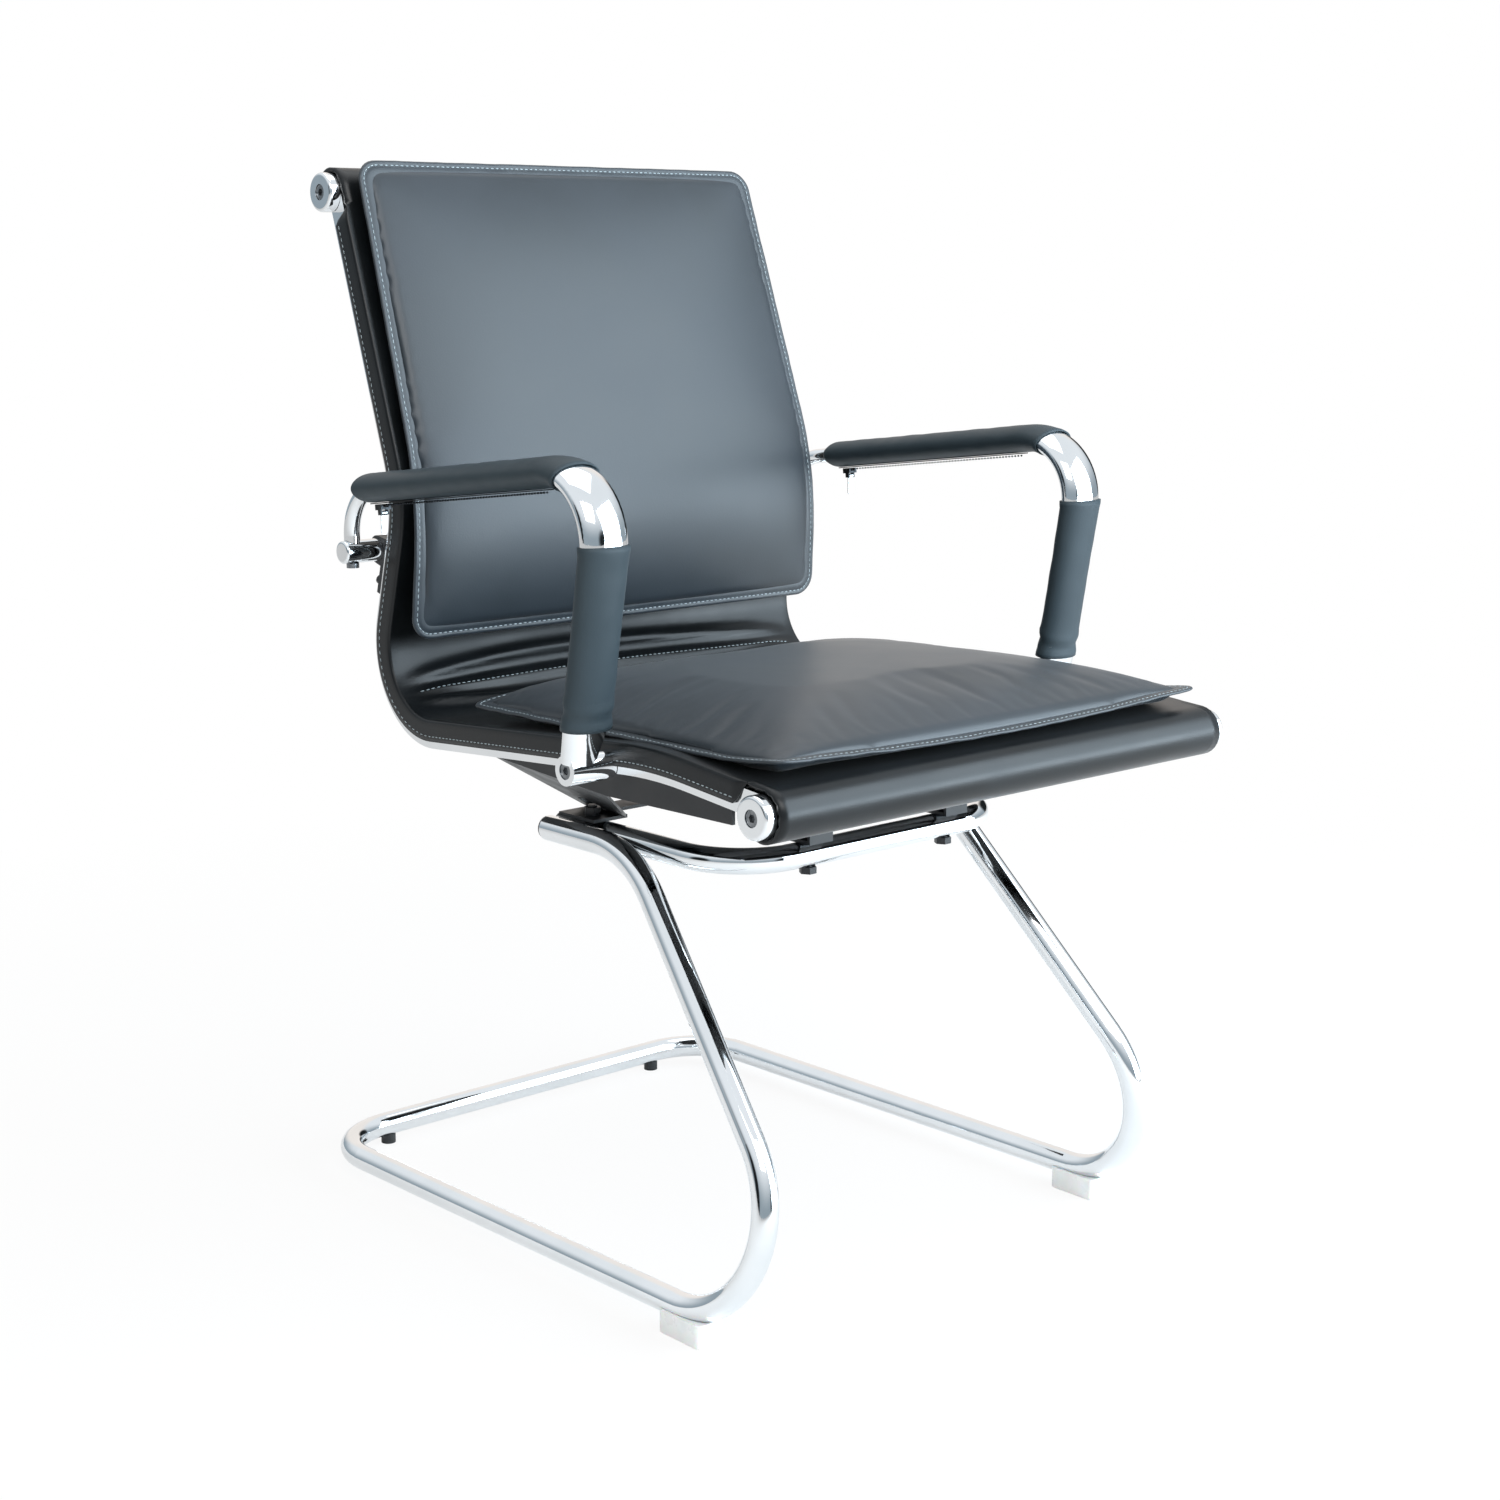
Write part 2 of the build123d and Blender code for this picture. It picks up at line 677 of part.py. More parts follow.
clamp_r = brace_r + clamp_ring
with BuildPart() as brace_bracket:
    with BuildSketch(side_plane(0)):
        with BuildLine():
            Polyline(
                behind_rail(clamp_start, 0),
                behind_rail(clamp_end, 0),
                behind_rail(brace_along + clamp_r, brace_standoff),
                behind_rail(brace_along - clamp_r, brace_standoff),
                behind_rail(brace_along - clamp_r, clamp_lug),
                behind_rail(clamp_start, clamp_lug),
                close=True,
            )
        make_face()
        with Locations(behind_rail(brace_along, brace_standoff)):
            Circle(clamp_r)
    extrude(amount=-rail_width)
    cylinder_x(0, room, brace_centre, brace_r + clip_clearance, Mode.SUBTRACT)
    with BuildSketch(brace_screw_plane):
        Circle(brace_screw_d / 2 + screw_clearance)
    extrude(amount=clamp_lug + brace_screw_head, mode=Mode.SUBTRACT)
keep("brace_bracket_left", brace_bracket.part)
keep("brace_bracket_right", mirrored(brace_bracket.part))
with BuildPart() as brace_screw:
    with BuildSketch(brace_screw_plane.offset(clamp_lug + brace_screw_seat)):
        Circle(brace_screw_head_d / 2)
    extrude(amount=brace_screw_head)
    with BuildSketch(brace_screw_plane.offset(clamp_lug + brace_screw_seat)):
        Circle(brace_screw_d / 2)
    extrude(amount=-clamp_lug - rail_depth / 2)
keep("brace_screws", both_sides(brace_screw.part))

# Sling: web, two pockets round the cross tubes, side lips round the rails and tucks at the hip
profile_depths = (-room, room)


def plan_trapezoid(outward):
    """Plan outline whose sides run parallel to the rails, outward of their outer faces."""
    halves = [rail_x(y) + outward for y in profile_depths]
    Polygon((-halves[0], profile_depths[0]), (halves[0], profile_depths[0]),
            (halves[1], profile_depths[1]), (-halves[1], profile_depths[1]), align=None)


def web(outward, trim):
    """The flat web of the sling, out to the given distance from the rails' outer faces."""
    with BuildPart() as sheet:
        with BuildLine(Plane.YZ) as line:
            FilletPolyline(*profile_points(trim), radius=profile_radii)
        with BuildSketch(start_plane(line.wire())):
            Rectangle(2 * (rail_front_half_width + rail_width), sling_t)
        sweep(path=line.wire())
        with BuildSketch():
            plan_trapezoid(outward)
        extrude(amount=2 * room, mode=Mode.INTERSECT)
    return sheet.part


hip_turn = degrees(atan2(lower_back_dir[1], lower_back_dir[0]) - atan2(seat_dir[1], seat_dir[0]))
hip_tangent = hip_r * sin(radians(hip_turn / 2)) / cos(radians(hip_turn / 2))
hip_start = shifted(profile_hip, seat_dir, -hip_tangent)
hip_centre = shifted(hip_start, seat_dir, 0, hip_r)
hip_start_angle = degrees(atan2(hip_start[1] - hip_centre[1], hip_start[0] - hip_centre[0]))


def on_hip(angle, radius):
    """A (y, z) place on the hip bend, by its angle from the bend's start at the seat."""
    turn = radians(hip_start_angle + angle)
    return (hip_centre[0] + radius * cos(turn), hip_centre[1] + radius * sin(turn))


rail_clear = rail_strip(
    -rail_width - rail_slot_gap, rail_slot_gap, rail_rear_n - rail_slot_gap, rail_front_n + rail_slot_gap
)


def pocket(place):
    """Rolled end of the sling round a cross tube, slotted where the rails come out."""
    half = rail_x(place[0]) - lip_gap
    with BuildPart() as roll:
        cylinder_x(-half, half, place, roll_outer_r)
        cylinder_x(-half, half, place, roll_inner_r, Mode.SUBTRACT)
        add(rail_clear, mode=Mode.SUBTRACT)
        mirror(rail_clear, about=Plane.YZ, mode=Mode.SUBTRACT)
    return roll.part


lip_outer = lip_gap + lip_t
lip = rail_strip(lip_gap, lip_outer, -sling_t / 2 - lip_depth, sling_t / 2 - lip_top_step, lip_end_gap)
with BuildPart() as sling:
    add(web(-lip_gap, 0))
    add(web(lip_outer + lip_edge_step, lip_end_gap))
    add(lip)
    mirror(lip, about=Plane.YZ)
    for tube_place in (front_tube, top_tube):
        add(pocket(tube_place))
    for tuck_angle in tuck_angles:
        tuck_place = on_hip(tuck_angle, hip_r - sling_t / 2)
        tuck_half = rail_x(tuck_place[0]) - tuck_margin
        cylinder_x(-tuck_half, tuck_half, tuck_place, tuck_d / 2 - lip_gap)
    for tube_place in (front_tube, top_tube):
        cylinder_x(-room, room, tube_place, roll_inner_r, Mode.SUBTRACT)
    for side in (1, -1):
        boss_start = side * (rail_x(arm_foot_y) - rail_width)
        cylinder_x(boss_start, side * room, arm_foot, foot_boss_d / 2 + screw_clearance, Mode.SUBTRACT)
keep("sling", sling.part)


def pad_body(path, halves, rise, belly):
    """A cushion lofted along its border line: thin at the edge, full and crowned in the middle."""
    length = path.length
    reach = [pad_border + step for step in pad_end_steps] + [share * length for share in pad_shares]
    stations = list(zip(reach, pad_fullness, pad_insets))
    stations += [(length - place, full, inset) for place, full, inset in reversed(stations)]
    with BuildPart() as body:
        for place, full, inset in stations:
            share = place / length
            half = halves[0] + (halves[1] - halves[0]) * share - pad_border - inset
            point = path @ share
            low = -full * min(belly((point.Y, point.Z)), pad_belly)
            top = full * rise
            station = Plane(origin=point, x_dir=(-1, 0, 0), z_dir=path % share)
            shoulder = (half - pad_shoulder, pad_shoulder_share * top)
            swell = (half - pad_swell, pad_swell_share * top)
            with BuildSketch(station):
                with BuildLine():
                    base = half - pad_base_inset
                    Polyline((-half, 0), (-base, low), (base, low), (half, 0))
                    ThreePointArc((half, 0), swell, shoulder)
                    ThreePointArc(shoulder, (0, top), (-shoulder[0], shoulder[1]))
                    ThreePointArc((-shoulder[0], shoulder[1]), (-swell[0], swell[1]), (-half, 0))
                make_face()
        loft()
    return body.part


def pad_border_sheet(path, halves):
    """The stitched border of a pad as a thin sheet along its border line."""
    with BuildPart() as sheet:
        with BuildSketch(start_plane(path)):
            Rectangle(2 * max(halves), pad_border_t)
        sweep(path=path)
    return sheet.part


def rounded_outline(halves, ends, radius):
    """A four-sided outline with rounded corners, from its half widths at two ends."""
    outline = Polygon(
        (-halves[0], ends[0]), (halves[0], ends[0]), (halves[1], ends[1]), (-halves[1], ends[1]), align=None
    )
    fillet(outline.vertices(), radius=radius)


def above_seat(point):
    """Free height between a place over the seat and the sling's upper surface."""
    return point[1] - min(seat_height(point[0]), front_seat_height(point[0])) - sling_t / 2 - pad_base_gap


def before_back(point):
    """Free depth between a place before the back and the sling's front surface."""
    lower = profile_lumbar[0] + (point[1] - profile_lumbar[1]) * lower_back_dir[0] / lower_back_dir[1]
    upper = profile_lumbar[0] + (point[1] - profile_lumbar[1]) * upper_back_dir[0] / upper_back_dir[1]
    return (max(lower, upper) - point[0]) * cos(radians(back_lean)) - sling_t / 2 - pad_base_gap


# Seat pad: a straight cushion over the crest of the sling
seat_pad_halves = (seat_pad_front_half, seat_pad_rear_half)
with BuildLine(Plane.YZ) as seat_pad_line:
    Line(seat_pad_front, seat_pad_rear)
seat_pad_path = seat_pad_line.wire()
with BuildPart() as seat_pad:
    add(pad_border_sheet(seat_pad_path, seat_pad_halves))
    with BuildSketch():
        seat_pad_ends = (seat_pad_front[0] + pad_trim, seat_pad_rear[0] - pad_trim)
        rounded_outline(seat_pad_halves, seat_pad_ends, seat_pad_corner_r)
    extrude(amount=room, mode=Mode.INTERSECT)
    add(pad_body(seat_pad_path, seat_pad_halves, seat_pad_rise, above_seat))
keep("seat_pad", seat_pad.part)

# Back pad: bent at the lumbar, its top edge stands over the top roll
back_pad_dir = (sin(radians(back_pad_lean)), cos(radians(back_pad_lean)))
back_pad_top = shifted(back_pad_bend, back_pad_dir, back_pad_length)
back_pad_halves = (back_pad_bottom_half, back_pad_top_half)
with BuildLine(Plane.YZ) as back_pad_line:
    FilletPolyline(back_pad_bottom, back_pad_bend, back_pad_top, radius=back_pad_bend_r)
back_pad_path = back_pad_line.wire()
with BuildPart() as back_pad:
    add(pad_border_sheet(back_pad_path, back_pad_halves))
    with BuildSketch(Plane.XZ):
        back_pad_ends = (back_pad_bottom[1] + pad_trim, back_pad_top[1] - pad_trim)
        rounded_outline(back_pad_halves, back_pad_ends, back_pad_corner_r)
    extrude(amount=room, both=True, mode=Mode.INTERSECT)
    add(pad_body(back_pad_path, back_pad_halves, back_pad_rise, before_back))
keep("back_pad", back_pad.part)

# Arms: foot boss, oval loop and rear link in one welded piece
post_dir = direction(arm_foot, arm_corner)
arm_dir = (cos(radians(arm_slope)), -sin(radians(arm_slope)))
arm_end = shifted(arm_corner, arm_dir, (arm_rear_y - arm_corner[0]) / arm_dir[0])
arm_plane = Plane.YZ.offset(arm_x)


def arm_section(place, along, outward=0.0):
    """Section plane of the left arm at a (y, z) place, local x across the arm."""
    return Plane(origin=(arm_x + outward, *place), x_dir=(-1, 0, 0), z_dir=(0, *along))


def arm_oval(extra=0.0, width=arm_width, mode=Mode.ADD):
    """Oval section of the arm, grown or shrunk all round."""
    Ellipse(width / 2 + extra, arm_height / 2 + extra, mode=mode)


boss_inner_x = rail_x(arm_foot_y) + foot_boss_gap
link_corner_z = arm_end[1] + (brace_centre[0] - arm_end[0]) * arm_dir[1] / arm_dir[0]
link_start = shifted(arm_end, arm_dir, -arm_end_plate)
with BuildPart() as arm_tube:
    with BuildLine(arm_plane) as arm_line:
        FilletPolyline(shifted(arm_foot, post_dir, foot_neck_high), arm_corner, arm_end, radius=arm_bend_r)
    with BuildSketch(start_plane(arm_line.wire(), (1, 0, 0))):
        arm_oval()
        arm_oval(-arm_wall, mode=Mode.SUBTRACT)
    sweep(path=arm_line.wire())
    with BuildSketch(arm_section(shifted(arm_foot, post_dir, foot_neck_high), post_dir)):
        arm_oval()
    with BuildSketch(arm_section(shifted(arm_foot, post_dir, foot_neck_low), post_dir, foot_neck_shift)):
        arm_oval(0, foot_neck_width)
    loft()
    cylinder_x(boss_inner_x, foot_boss_outer_x, arm_foot, foot_boss_d / 2)
    with BuildSketch(arm_section(arm_end, arm_dir)):
        arm_oval()
    extrude(amount=-arm_end_plate)
    with BuildLine(Plane.YZ.offset(link_x)) as link_line:
        FilletPolyline(link_start, (brace_centre[0], link_corner_z), brace_centre, radius=link_bend_r)
    with BuildSketch(start_plane(link_line.wire(), (1, 0, 0))):
        Circle(link_d / 2)
    sweep(path=link_line.wire())
    cylinder_x(0, room, brace_centre, brace_r + clip_clearance, Mode.SUBTRACT)
    cylinder_x(boss_inner_x, foot_boss_outer_x, arm_foot, foot_screw_d / 2 + screw_clearance, Mode.SUBTRACT)
    cylinder_x(foot_boss_outer_x - foot_screw_recess, foot_boss_outer_x, arm_foot,
               foot_screw_head_d / 2 + screw_clearance, Mode.SUBTRACT)
    with BuildSketch(Plane.XY.offset(brace_centre[1])):
        with Locations((link_x, brace_centre[0])):
            Circle(link_screw_d / 2 + screw_clearance / 2)
    extrude(amount=brace_r + link_screw_grip, mode=Mode.SUBTRACT)
keep("arm_tube_left", arm_tube.part)
keep("arm_tube_right", mirrored(arm_tube.part))
foot_head = foot_boss_outer_x - foot_screw_recess
foot_screw = socket_screw_x(foot_head, foot_boss_outer_x - screw_sink, rail_x(arm_foot_y) - rail_width / 2,
                            arm_foot, foot_screw_head_d, foot_screw_d, hex_key)
keep("arm_foot_screws", both_sides(foot_screw))
with BuildPart() as link_screw:
    with Locations((link_x, brace_centre[0], brace_centre[1] - brace_r)):
        Cylinder(link_screw_head_d / 2, link_screw_head, align=(Align.CENTER, Align.CENTER, Align.MAX))
        Cylinder(link_screw_d / 2, brace_d + link_screw_grip - 2 * tube_wall,
                 align=(Align.CENTER, Align.CENTER, Align.MIN))
keep("arm_link_screws", both_sides(link_screw.part))


def sleeve(stretch):
    """Leatherette cover along a stretch of the left arm's line."""
    with BuildPart() as cover:
        with BuildSketch(start_plane(stretch, (1, 0, 0))):
            arm_oval(sleeve_gap + sleeve_t)
            arm_oval(sleeve_gap, mode=Mode.SUBTRACT)
        sweep(path=stretch)
    return cover.part


def on_arm(y):
    """Centre of the horizontal arm at a depth y."""
    return shifted(arm_corner, arm_dir, (y - arm_corner[0]) / arm_dir[0])


arm_turn = acos(post_dir[0] * arm_dir[0] + post_dir[1] * arm_dir[1])
arm_bend_reach = arm_bend_r * tan(arm_turn / 2)
bend_low = shifted(arm_corner, post_dir, -arm_bend_reach)
bend_high = shifted(arm_corner, arm_dir, arm_bend_reach)
sleeve_cap_start = shifted(arm_end, arm_dir, sleeve_gap)
with BuildLine(arm_plane) as arm_sleeve_line:
    Line(sleeve_cap_start, bend_high)
    JernArc(bend_high, (-arm_dir[0], -arm_dir[1]), arm_bend_r, arm_sleeve_wrap)
with BuildLine(arm_plane) as post_sleeve_line:
    Line(shifted(arm_foot, post_dir, post_sleeve_low), bend_low)
    JernArc(bend_low, post_dir, arm_bend_r, -post_sleeve_wrap)
with BuildPart() as arm_sleeve_shape:
    add(sleeve(arm_sleeve_line.wire()))
    with BuildSketch(arm_section(sleeve_cap_start, arm_dir)):
        arm_oval(sleeve_gap + sleeve_t)
    extrude(amount=sleeve_end_t)
    fillet(arm_sleeve_shape.faces().sort_by(Axis.Y)[-1].edges(), radius=sleeve_end_r)
    with BuildSketch(arm_section(sleeve_cap_start, arm_dir)):
        with Locations((arm_x - link_x, 0)):
            Circle(link_d / 2 + sleeve_gap)
    extrude(amount=sleeve_end_t, mode=Mode.SUBTRACT)
arm_sleeve = arm_sleeve_shape.part
post_sleeve = sleeve(post_sleeve_line.wire())
keep("arm_sleeve_left", arm_sleeve)
keep("arm_sleeve_right", mirrored(arm_sleeve))
keep("post_sleeve_left", post_sleeve)
keep("post_sleeve_right", mirrored(post_sleeve))

# Zip: tape with a raised coil, a slider that wraps the coil, and a hinged pull
cover_low = -(arm_height / 2 + sleeve_gap + sleeve_t)
tape_low = cover_low - zip_tape_t
coil_high = tape_low - zip_neck_height
coil_low = coil_high - zip_coil_height
slider_low = coil_low - slider_clearance - slider_floor
pin_height = slider_low - pull_pin_drop


def block(x_half, low, high, mode=Mode.ADD):
    """A rectangle centred across the arm between two heights."""
    with Locations((0, (low + high) / 2)):
        Rectangle(2 * x_half, high - low, mode=mode)


with BuildPart() as sleeve_zip:
    with BuildSketch(arm_section(on_arm(zip_front_y), arm_dir)):
        block(zip_tape_width / 2, tape_low, cover_low)
        block(zip_neck_width / 2, coil_high, tape_low)
        block(zip_coil_width / 2, coil_low, coil_high)
    extrude(amount=(zip_rear_y - zip_front_y) / arm_dir[0])
keep("sleeve_zip_left", sleeve_zip.part)
keep("sleeve_zip_right", mirrored(sleeve_zip.part))

slider_front = shifted(on_arm(slider_y), arm_dir, -slider_length / 2)
ear_front = shifted(on_arm(slider_y), arm_dir, -ear_length / 2)
ear_inner = pull_width / 2 + ear_gap
pull_eye_r = pull_pin_d / 2 + pull_eye_clearance + pull_eye_wall
pin_place = shifted(on_arm(slider_y), arm_dir, 0, pin_height)
with BuildPart() as zip_slider:
    with BuildSketch(arm_section(slider_front, arm_dir)):
        block(slider_width / 2, slider_low, tape_low - slider_clearance)
        block(zip_neck_width / 2 + slider_clearance, coil_high, tape_low, Mode.SUBTRACT)
        block(zip_coil_width / 2 + slider_clearance, coil_low - slider_clearance,
              coil_high + slider_clearance, Mode.SUBTRACT)
    extrude(amount=slider_length)
    with BuildSketch(arm_section(ear_front, arm_dir)):
        for side in (1, -1):
            with Locations((side * (ear_inner + ear_t / 2), (slider_low + pin_height - pull_pin_d) / 2)):
                Rectangle(ear_t, slider_low - pin_height + pull_pin_d)
    extrude(amount=ear_length)
    cylinder_x(arm_x - ear_inner - ear_t / 2, arm_x + ear_inner + ear_t / 2, pin_place, pull_pin_d / 2)
keep("zip_slider_left", zip_slider.part)
keep("zip_slider_right", mirrored(zip_slider.part))

with BuildPart() as zip_pull:
    cylinder_x(arm_x - pull_width / 2, arm_x + pull_width / 2, pin_place, pull_eye_r)
    with BuildSketch(Plane.XZ.offset(-pin_place[0] - pull_t / 2)):
        with Locations((arm_x, pin_place[1] - pull_length / 2)):
            RectangleRounded(pull_width, pull_length, pull_corner_r)
    extrude(amount=pull_t)
    cylinder_x(0, room, pin_place, pull_pin_d / 2 + pull_eye_clearance, Mode.SUBTRACT)
keep("zip_pull_left", zip_pull.part)
keep("zip_pull_right", mirrored(zip_pull.part))

# One STEP file for each node
os.makedirs("parts", exist_ok=True)
for node_name, node_part in nodes.items():
    export_step(node_part, f"parts/{node_name}.step")
print(len(nodes), "nodes")
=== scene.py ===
"""Looks of a visitor chair: leatherette sling and pads, zipped arm covers and chrome tube."""

import json
import logging
import math
from dataclasses import dataclass, field
from enum import Enum
from typing import Callable, Optional, Sequence

import bmesh
import bpy
from mathutils import Matrix, Vector, kdtree, noise


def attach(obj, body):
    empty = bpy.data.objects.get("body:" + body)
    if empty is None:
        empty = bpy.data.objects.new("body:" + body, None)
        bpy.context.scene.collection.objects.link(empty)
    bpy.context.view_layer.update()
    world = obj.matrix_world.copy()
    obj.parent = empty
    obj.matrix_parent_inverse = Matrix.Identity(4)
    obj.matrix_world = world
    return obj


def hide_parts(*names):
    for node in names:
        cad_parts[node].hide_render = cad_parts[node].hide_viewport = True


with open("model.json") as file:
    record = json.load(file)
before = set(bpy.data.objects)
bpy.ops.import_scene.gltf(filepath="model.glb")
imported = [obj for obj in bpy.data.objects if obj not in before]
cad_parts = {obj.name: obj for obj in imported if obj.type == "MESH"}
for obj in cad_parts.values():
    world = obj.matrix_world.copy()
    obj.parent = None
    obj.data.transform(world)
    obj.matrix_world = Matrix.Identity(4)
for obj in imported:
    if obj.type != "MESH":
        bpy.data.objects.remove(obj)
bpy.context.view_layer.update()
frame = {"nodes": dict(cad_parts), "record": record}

# Sizes are in millimetres, unless a name ends in _m or _deg. Blender takes metres.
MM = 0.001
CHAIR = "chair"
LOG = logging.getLogger("visitor_chair")

Pair = tuple[float, float]
Triple = tuple[float, float, float]
Along = Callable[[float], Vector]
OnGrid = Callable[[float, float], Vector]
Piece = bpy.types.Object
Mesh = bmesh.types.BMesh
Tree = bpy.types.NodeTree
Socket = bpy.types.NodeSocket


class Side(Enum):
    """The sitter's two sides, with the sign of X on each."""

    LEFT = 1.0
    RIGHT = -1.0

    @property
    def label(self) -> str:
        """Ending of the names of this side's pieces."""
        return self.name.lower()


class Slot(Enum):
    """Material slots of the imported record."""

    CHROME = "chrome"
    BLACK_PLASTIC = "black_plastic"
    CLEAR_PLASTIC = "clear_plastic"
    BLACK_STEEL = "black_steel"
    SCREW_STEEL = "screw_steel"
    LEATHERETTE = "leatherette"
    ZIP_TAPE = "zip_tape"
    ZIP_METAL = "zip_metal"


def linear(hex_colour: str) -> tuple[float, float, float, float]:
    """Turn an sRGB hex colour into linear RGBA.

    Args:
        hex_colour: A colour such as "#20262a".

    Returns:
        Linear red, green, blue and an alpha of 1.
    """
    shares = [int(hex_colour[place:place + 2], 16) / 255 for place in (1, 3, 5)]
    red, green, blue = (
        s / 12.92 if s <= 0.04045 else ((s + 0.055) / 1.055) ** 2.4 for s in shares)
    return red, green, blue, 1.0


def ease(value: float, start: float, end: float) -> float:
    """Smooth step from 0 at start to 1 at end.

    Args:
        value: The number that is read.
        start: Where the step begins.
        end: Where the step is complete.

    Returns:
        A share from 0 to 1.
    """
    share = min(max((value - start) / (end - start), 0.0), 1.0)
    return share * share * (3 - 2 * share)


def add_node(
    tree: Tree, kind: str, inputs: Optional[dict] = None, **settings: object
) -> bpy.types.Node:
    """Add one shader node, set its options and fill its inputs.

    Args:
        tree: The node tree that gets the node.
        kind: The node's Blender type.
        inputs: Input names or numbers with a value, or with an output socket to link.
        settings: The node's own options.

    Returns:
        The new node.
    """
    node = tree.nodes.new(kind)
    for option, value in settings.items():
        setattr(node, option, value)
    for socket, value in (inputs or {}).items():
        if isinstance(value, Socket):
            tree.links.new(value, node.inputs[socket])
        else:
            node.inputs[socket].default_value = value
    return node


@dataclass(frozen=True)
class Finish:
    """A finish: its two tones, its range of roughness and a fine relief.

    Relief and tones are drawn on Object coordinates, so they sit on the piece at a real size.
    """

    name: str
    colour: str
    second_colour: str
    roughness: Pair
    patch_mm: float
    grain_mm: float
    grain_height_mm: float
    metallic: float = 0.0
    ior: float = 1.5
    settings: tuple[tuple[str, float], ...] = ()
    grain_kind: str = "ShaderNodeTexVoronoi"
    patch_range: Pair = (0.36, 0.64)
    patch_detail: float = 3.0
    patch_roughness: float = 0.55

    def material(self) -> bpy.types.Material:
        """Build the node material.

        Returns:
            The new material.
        """
        material = bpy.data.materials.new(self.name)
        material.use_nodes = True
        tree = material.node_tree
        shader = tree.nodes["Principled BSDF"]
        shader.inputs["Metallic"].default_value = self.metallic
        shader.inputs["IOR"].default_value = self.ior
        for socket, value in self.settings:
            shader.inputs[socket].default_value = value
        place = add_node(tree, "ShaderNodeTexCoord").outputs["Object"]
        patches = add_node(tree, "ShaderNodeTexNoise", {
            "Vector": place, "Scale": 1 / (self.patch_mm * MM), "Detail": self.patch_detail,
            "Roughness": self.patch_roughness}).outputs["Fac"]
        low, high = self.patch_range
        span = {"Value": patches, "From Min": low, "From Max": high}
        share = add_node(tree, "ShaderNodeMapRange", span).outputs["Result"]
        tone = add_node(tree, "ShaderNodeMix", {
            0: share, 6: linear(self.colour), 7: linear(self.second_colour)}, data_type="RGBA")
        tree.links.new(tone.outputs[2], shader.inputs["Base Color"])
        smooth, rough = self.roughness
        gloss = add_node(tree, "ShaderNodeMapRange", {**span, "To Min": smooth, "To Max": rough})
        tree.links.new(gloss.outputs["Result"], shader.inputs["Roughness"])
        fineness = 1 / (self.grain_mm * MM)
        grain = add_node(tree, self.grain_kind, {"Vector": place, "Scale": fineness})
        relief = add_node(tree, "ShaderNodeBump", {
            "Height": grain.outputs[0], "Strength": 1.0, "Distance": self.grain_height_mm * MM})
        tree.links.new(relief.outputs["Normal"], shader.inputs["Normal"])
        return material


# Leatherette: PVC skin on cloth, embossed with a fine pebble. Gives the eye a blue-black with a
# broad soft sheen. The real pebble is under 1 mm, too fine to show, so it is drawn at 1.6 mm.
LEATHERETTE = Finish(
    "embossed_pvc_leatherette", "#222a30", "#262e35", (0.38, 0.42), 110.0, 1.6, 0.03,
    settings=(("Sheen Weight", 0.08), ("Sheen Roughness", 0.4)))
# The same skin on the sling, smoother and taking less shine, with its base colour darkened as
# painted shade for the shaded hip and sides.
SHADE_DARKENED_SLING_SKIN = Finish(
    "embossed_pvc_sling_skin_painted_shade", "#0b0e10", "#0f1316", (0.30, 0.36), 60.0, 1.6, 0.03,
    settings=(("Specular IOR Level", 0.30), ("Sheen Weight", 0.02), ("Sheen Roughness", 0.4)))
# The arm covers: a matt, softer skin that takes little shine from behind, with a lighter base
# colour as painted light for the lit fronts of the posts.
LIGHT_PAINTED_ARM_SKIN = Finish(
    "matt_pvc_arm_skin_painted_light", "#2e393f", "#323d43", (0.50, 0.56), 60.0, 1.6, 0.03,
    settings=(("Specular IOR Level", 0.25),))
# Bonded polyester thread, twisted: pale grey, each stitch a small soft highlight.
THREAD = Finish("twisted_polyester_thread", "#97a5ab", "#abb8bd", (0.45, 0.6), 8.0, 0.5, 0.05)
# Nickel-chrome plate on polished steel tube: mirror bright, with faint handling haze.
CHROME = Finish(
    "polished_chrome_plate", "#eceef0", "#e6e9eb", (0.04, 0.07), 60.0, 6.0, 0.0006, metallic=1.0)
# Powder coat on pressed steel: satin black with a slight orange peel of about 1.5 mm.
POWDER_COAT = Finish(
    "black_powder_coat", "#15171a", "#1b1d20", (0.38, 0.5), 30.0, 1.5, 0.03,
    grain_kind="ShaderNodeTexNoise")
# Zinc-plated screws, tumbled: dull grey metal.
ZINC = Finish(
    "zinc_plated_steel", "#8c8f92", "#7b7e81", (0.28, 0.42), 5.0, 0.8, 0.02, metallic=1.0)
# Moulded black polypropylene plugs with a spark-eroded mould texture of about 1 mm.
BLACK_PLASTIC = Finish(
    "moulded_black_polypropylene", "#17181a", "#1d1f21", (0.42, 0.55), 12.0, 1.0, 0.03)
# Milky clip-on glides in natural polypropylene: light passes a little way in.
MILKY_PLASTIC = Finish(
    "natural_polypropylene", "#f7f8f7", "#f0f2f1", (0.25, 0.35), 15.0, 1.2, 0.01,
    settings=(("Subsurface Weight", 0.35), ("Subsurface Scale", 0.004)))
# Woven polyester zip tape: black, matt, with a weave of about 0.8 mm.
ZIP_TAPE = Finish("woven_polyester_tape", "#101214", "#17191b", (0.75, 0.85), 10.0, 0.8, 0.08)
# Blackened zinc casting of the slider.
ZIP_METAL = Finish(
    "blackened_zinc_casting", "#3a3c3e", "#2b2d2f", (0.3, 0.4), 4.0, 0.8, 0.02, metallic=1.0)
# Bare stamped zinc of the slider's pull, worn pale by fingers.
PULL_METAL = Finish(
    "bare_stamped_zinc", "#c9cdcf", "#bcc1c4", (0.3, 0.4), 4.0, 0.8, 0.02, metallic=1.0)


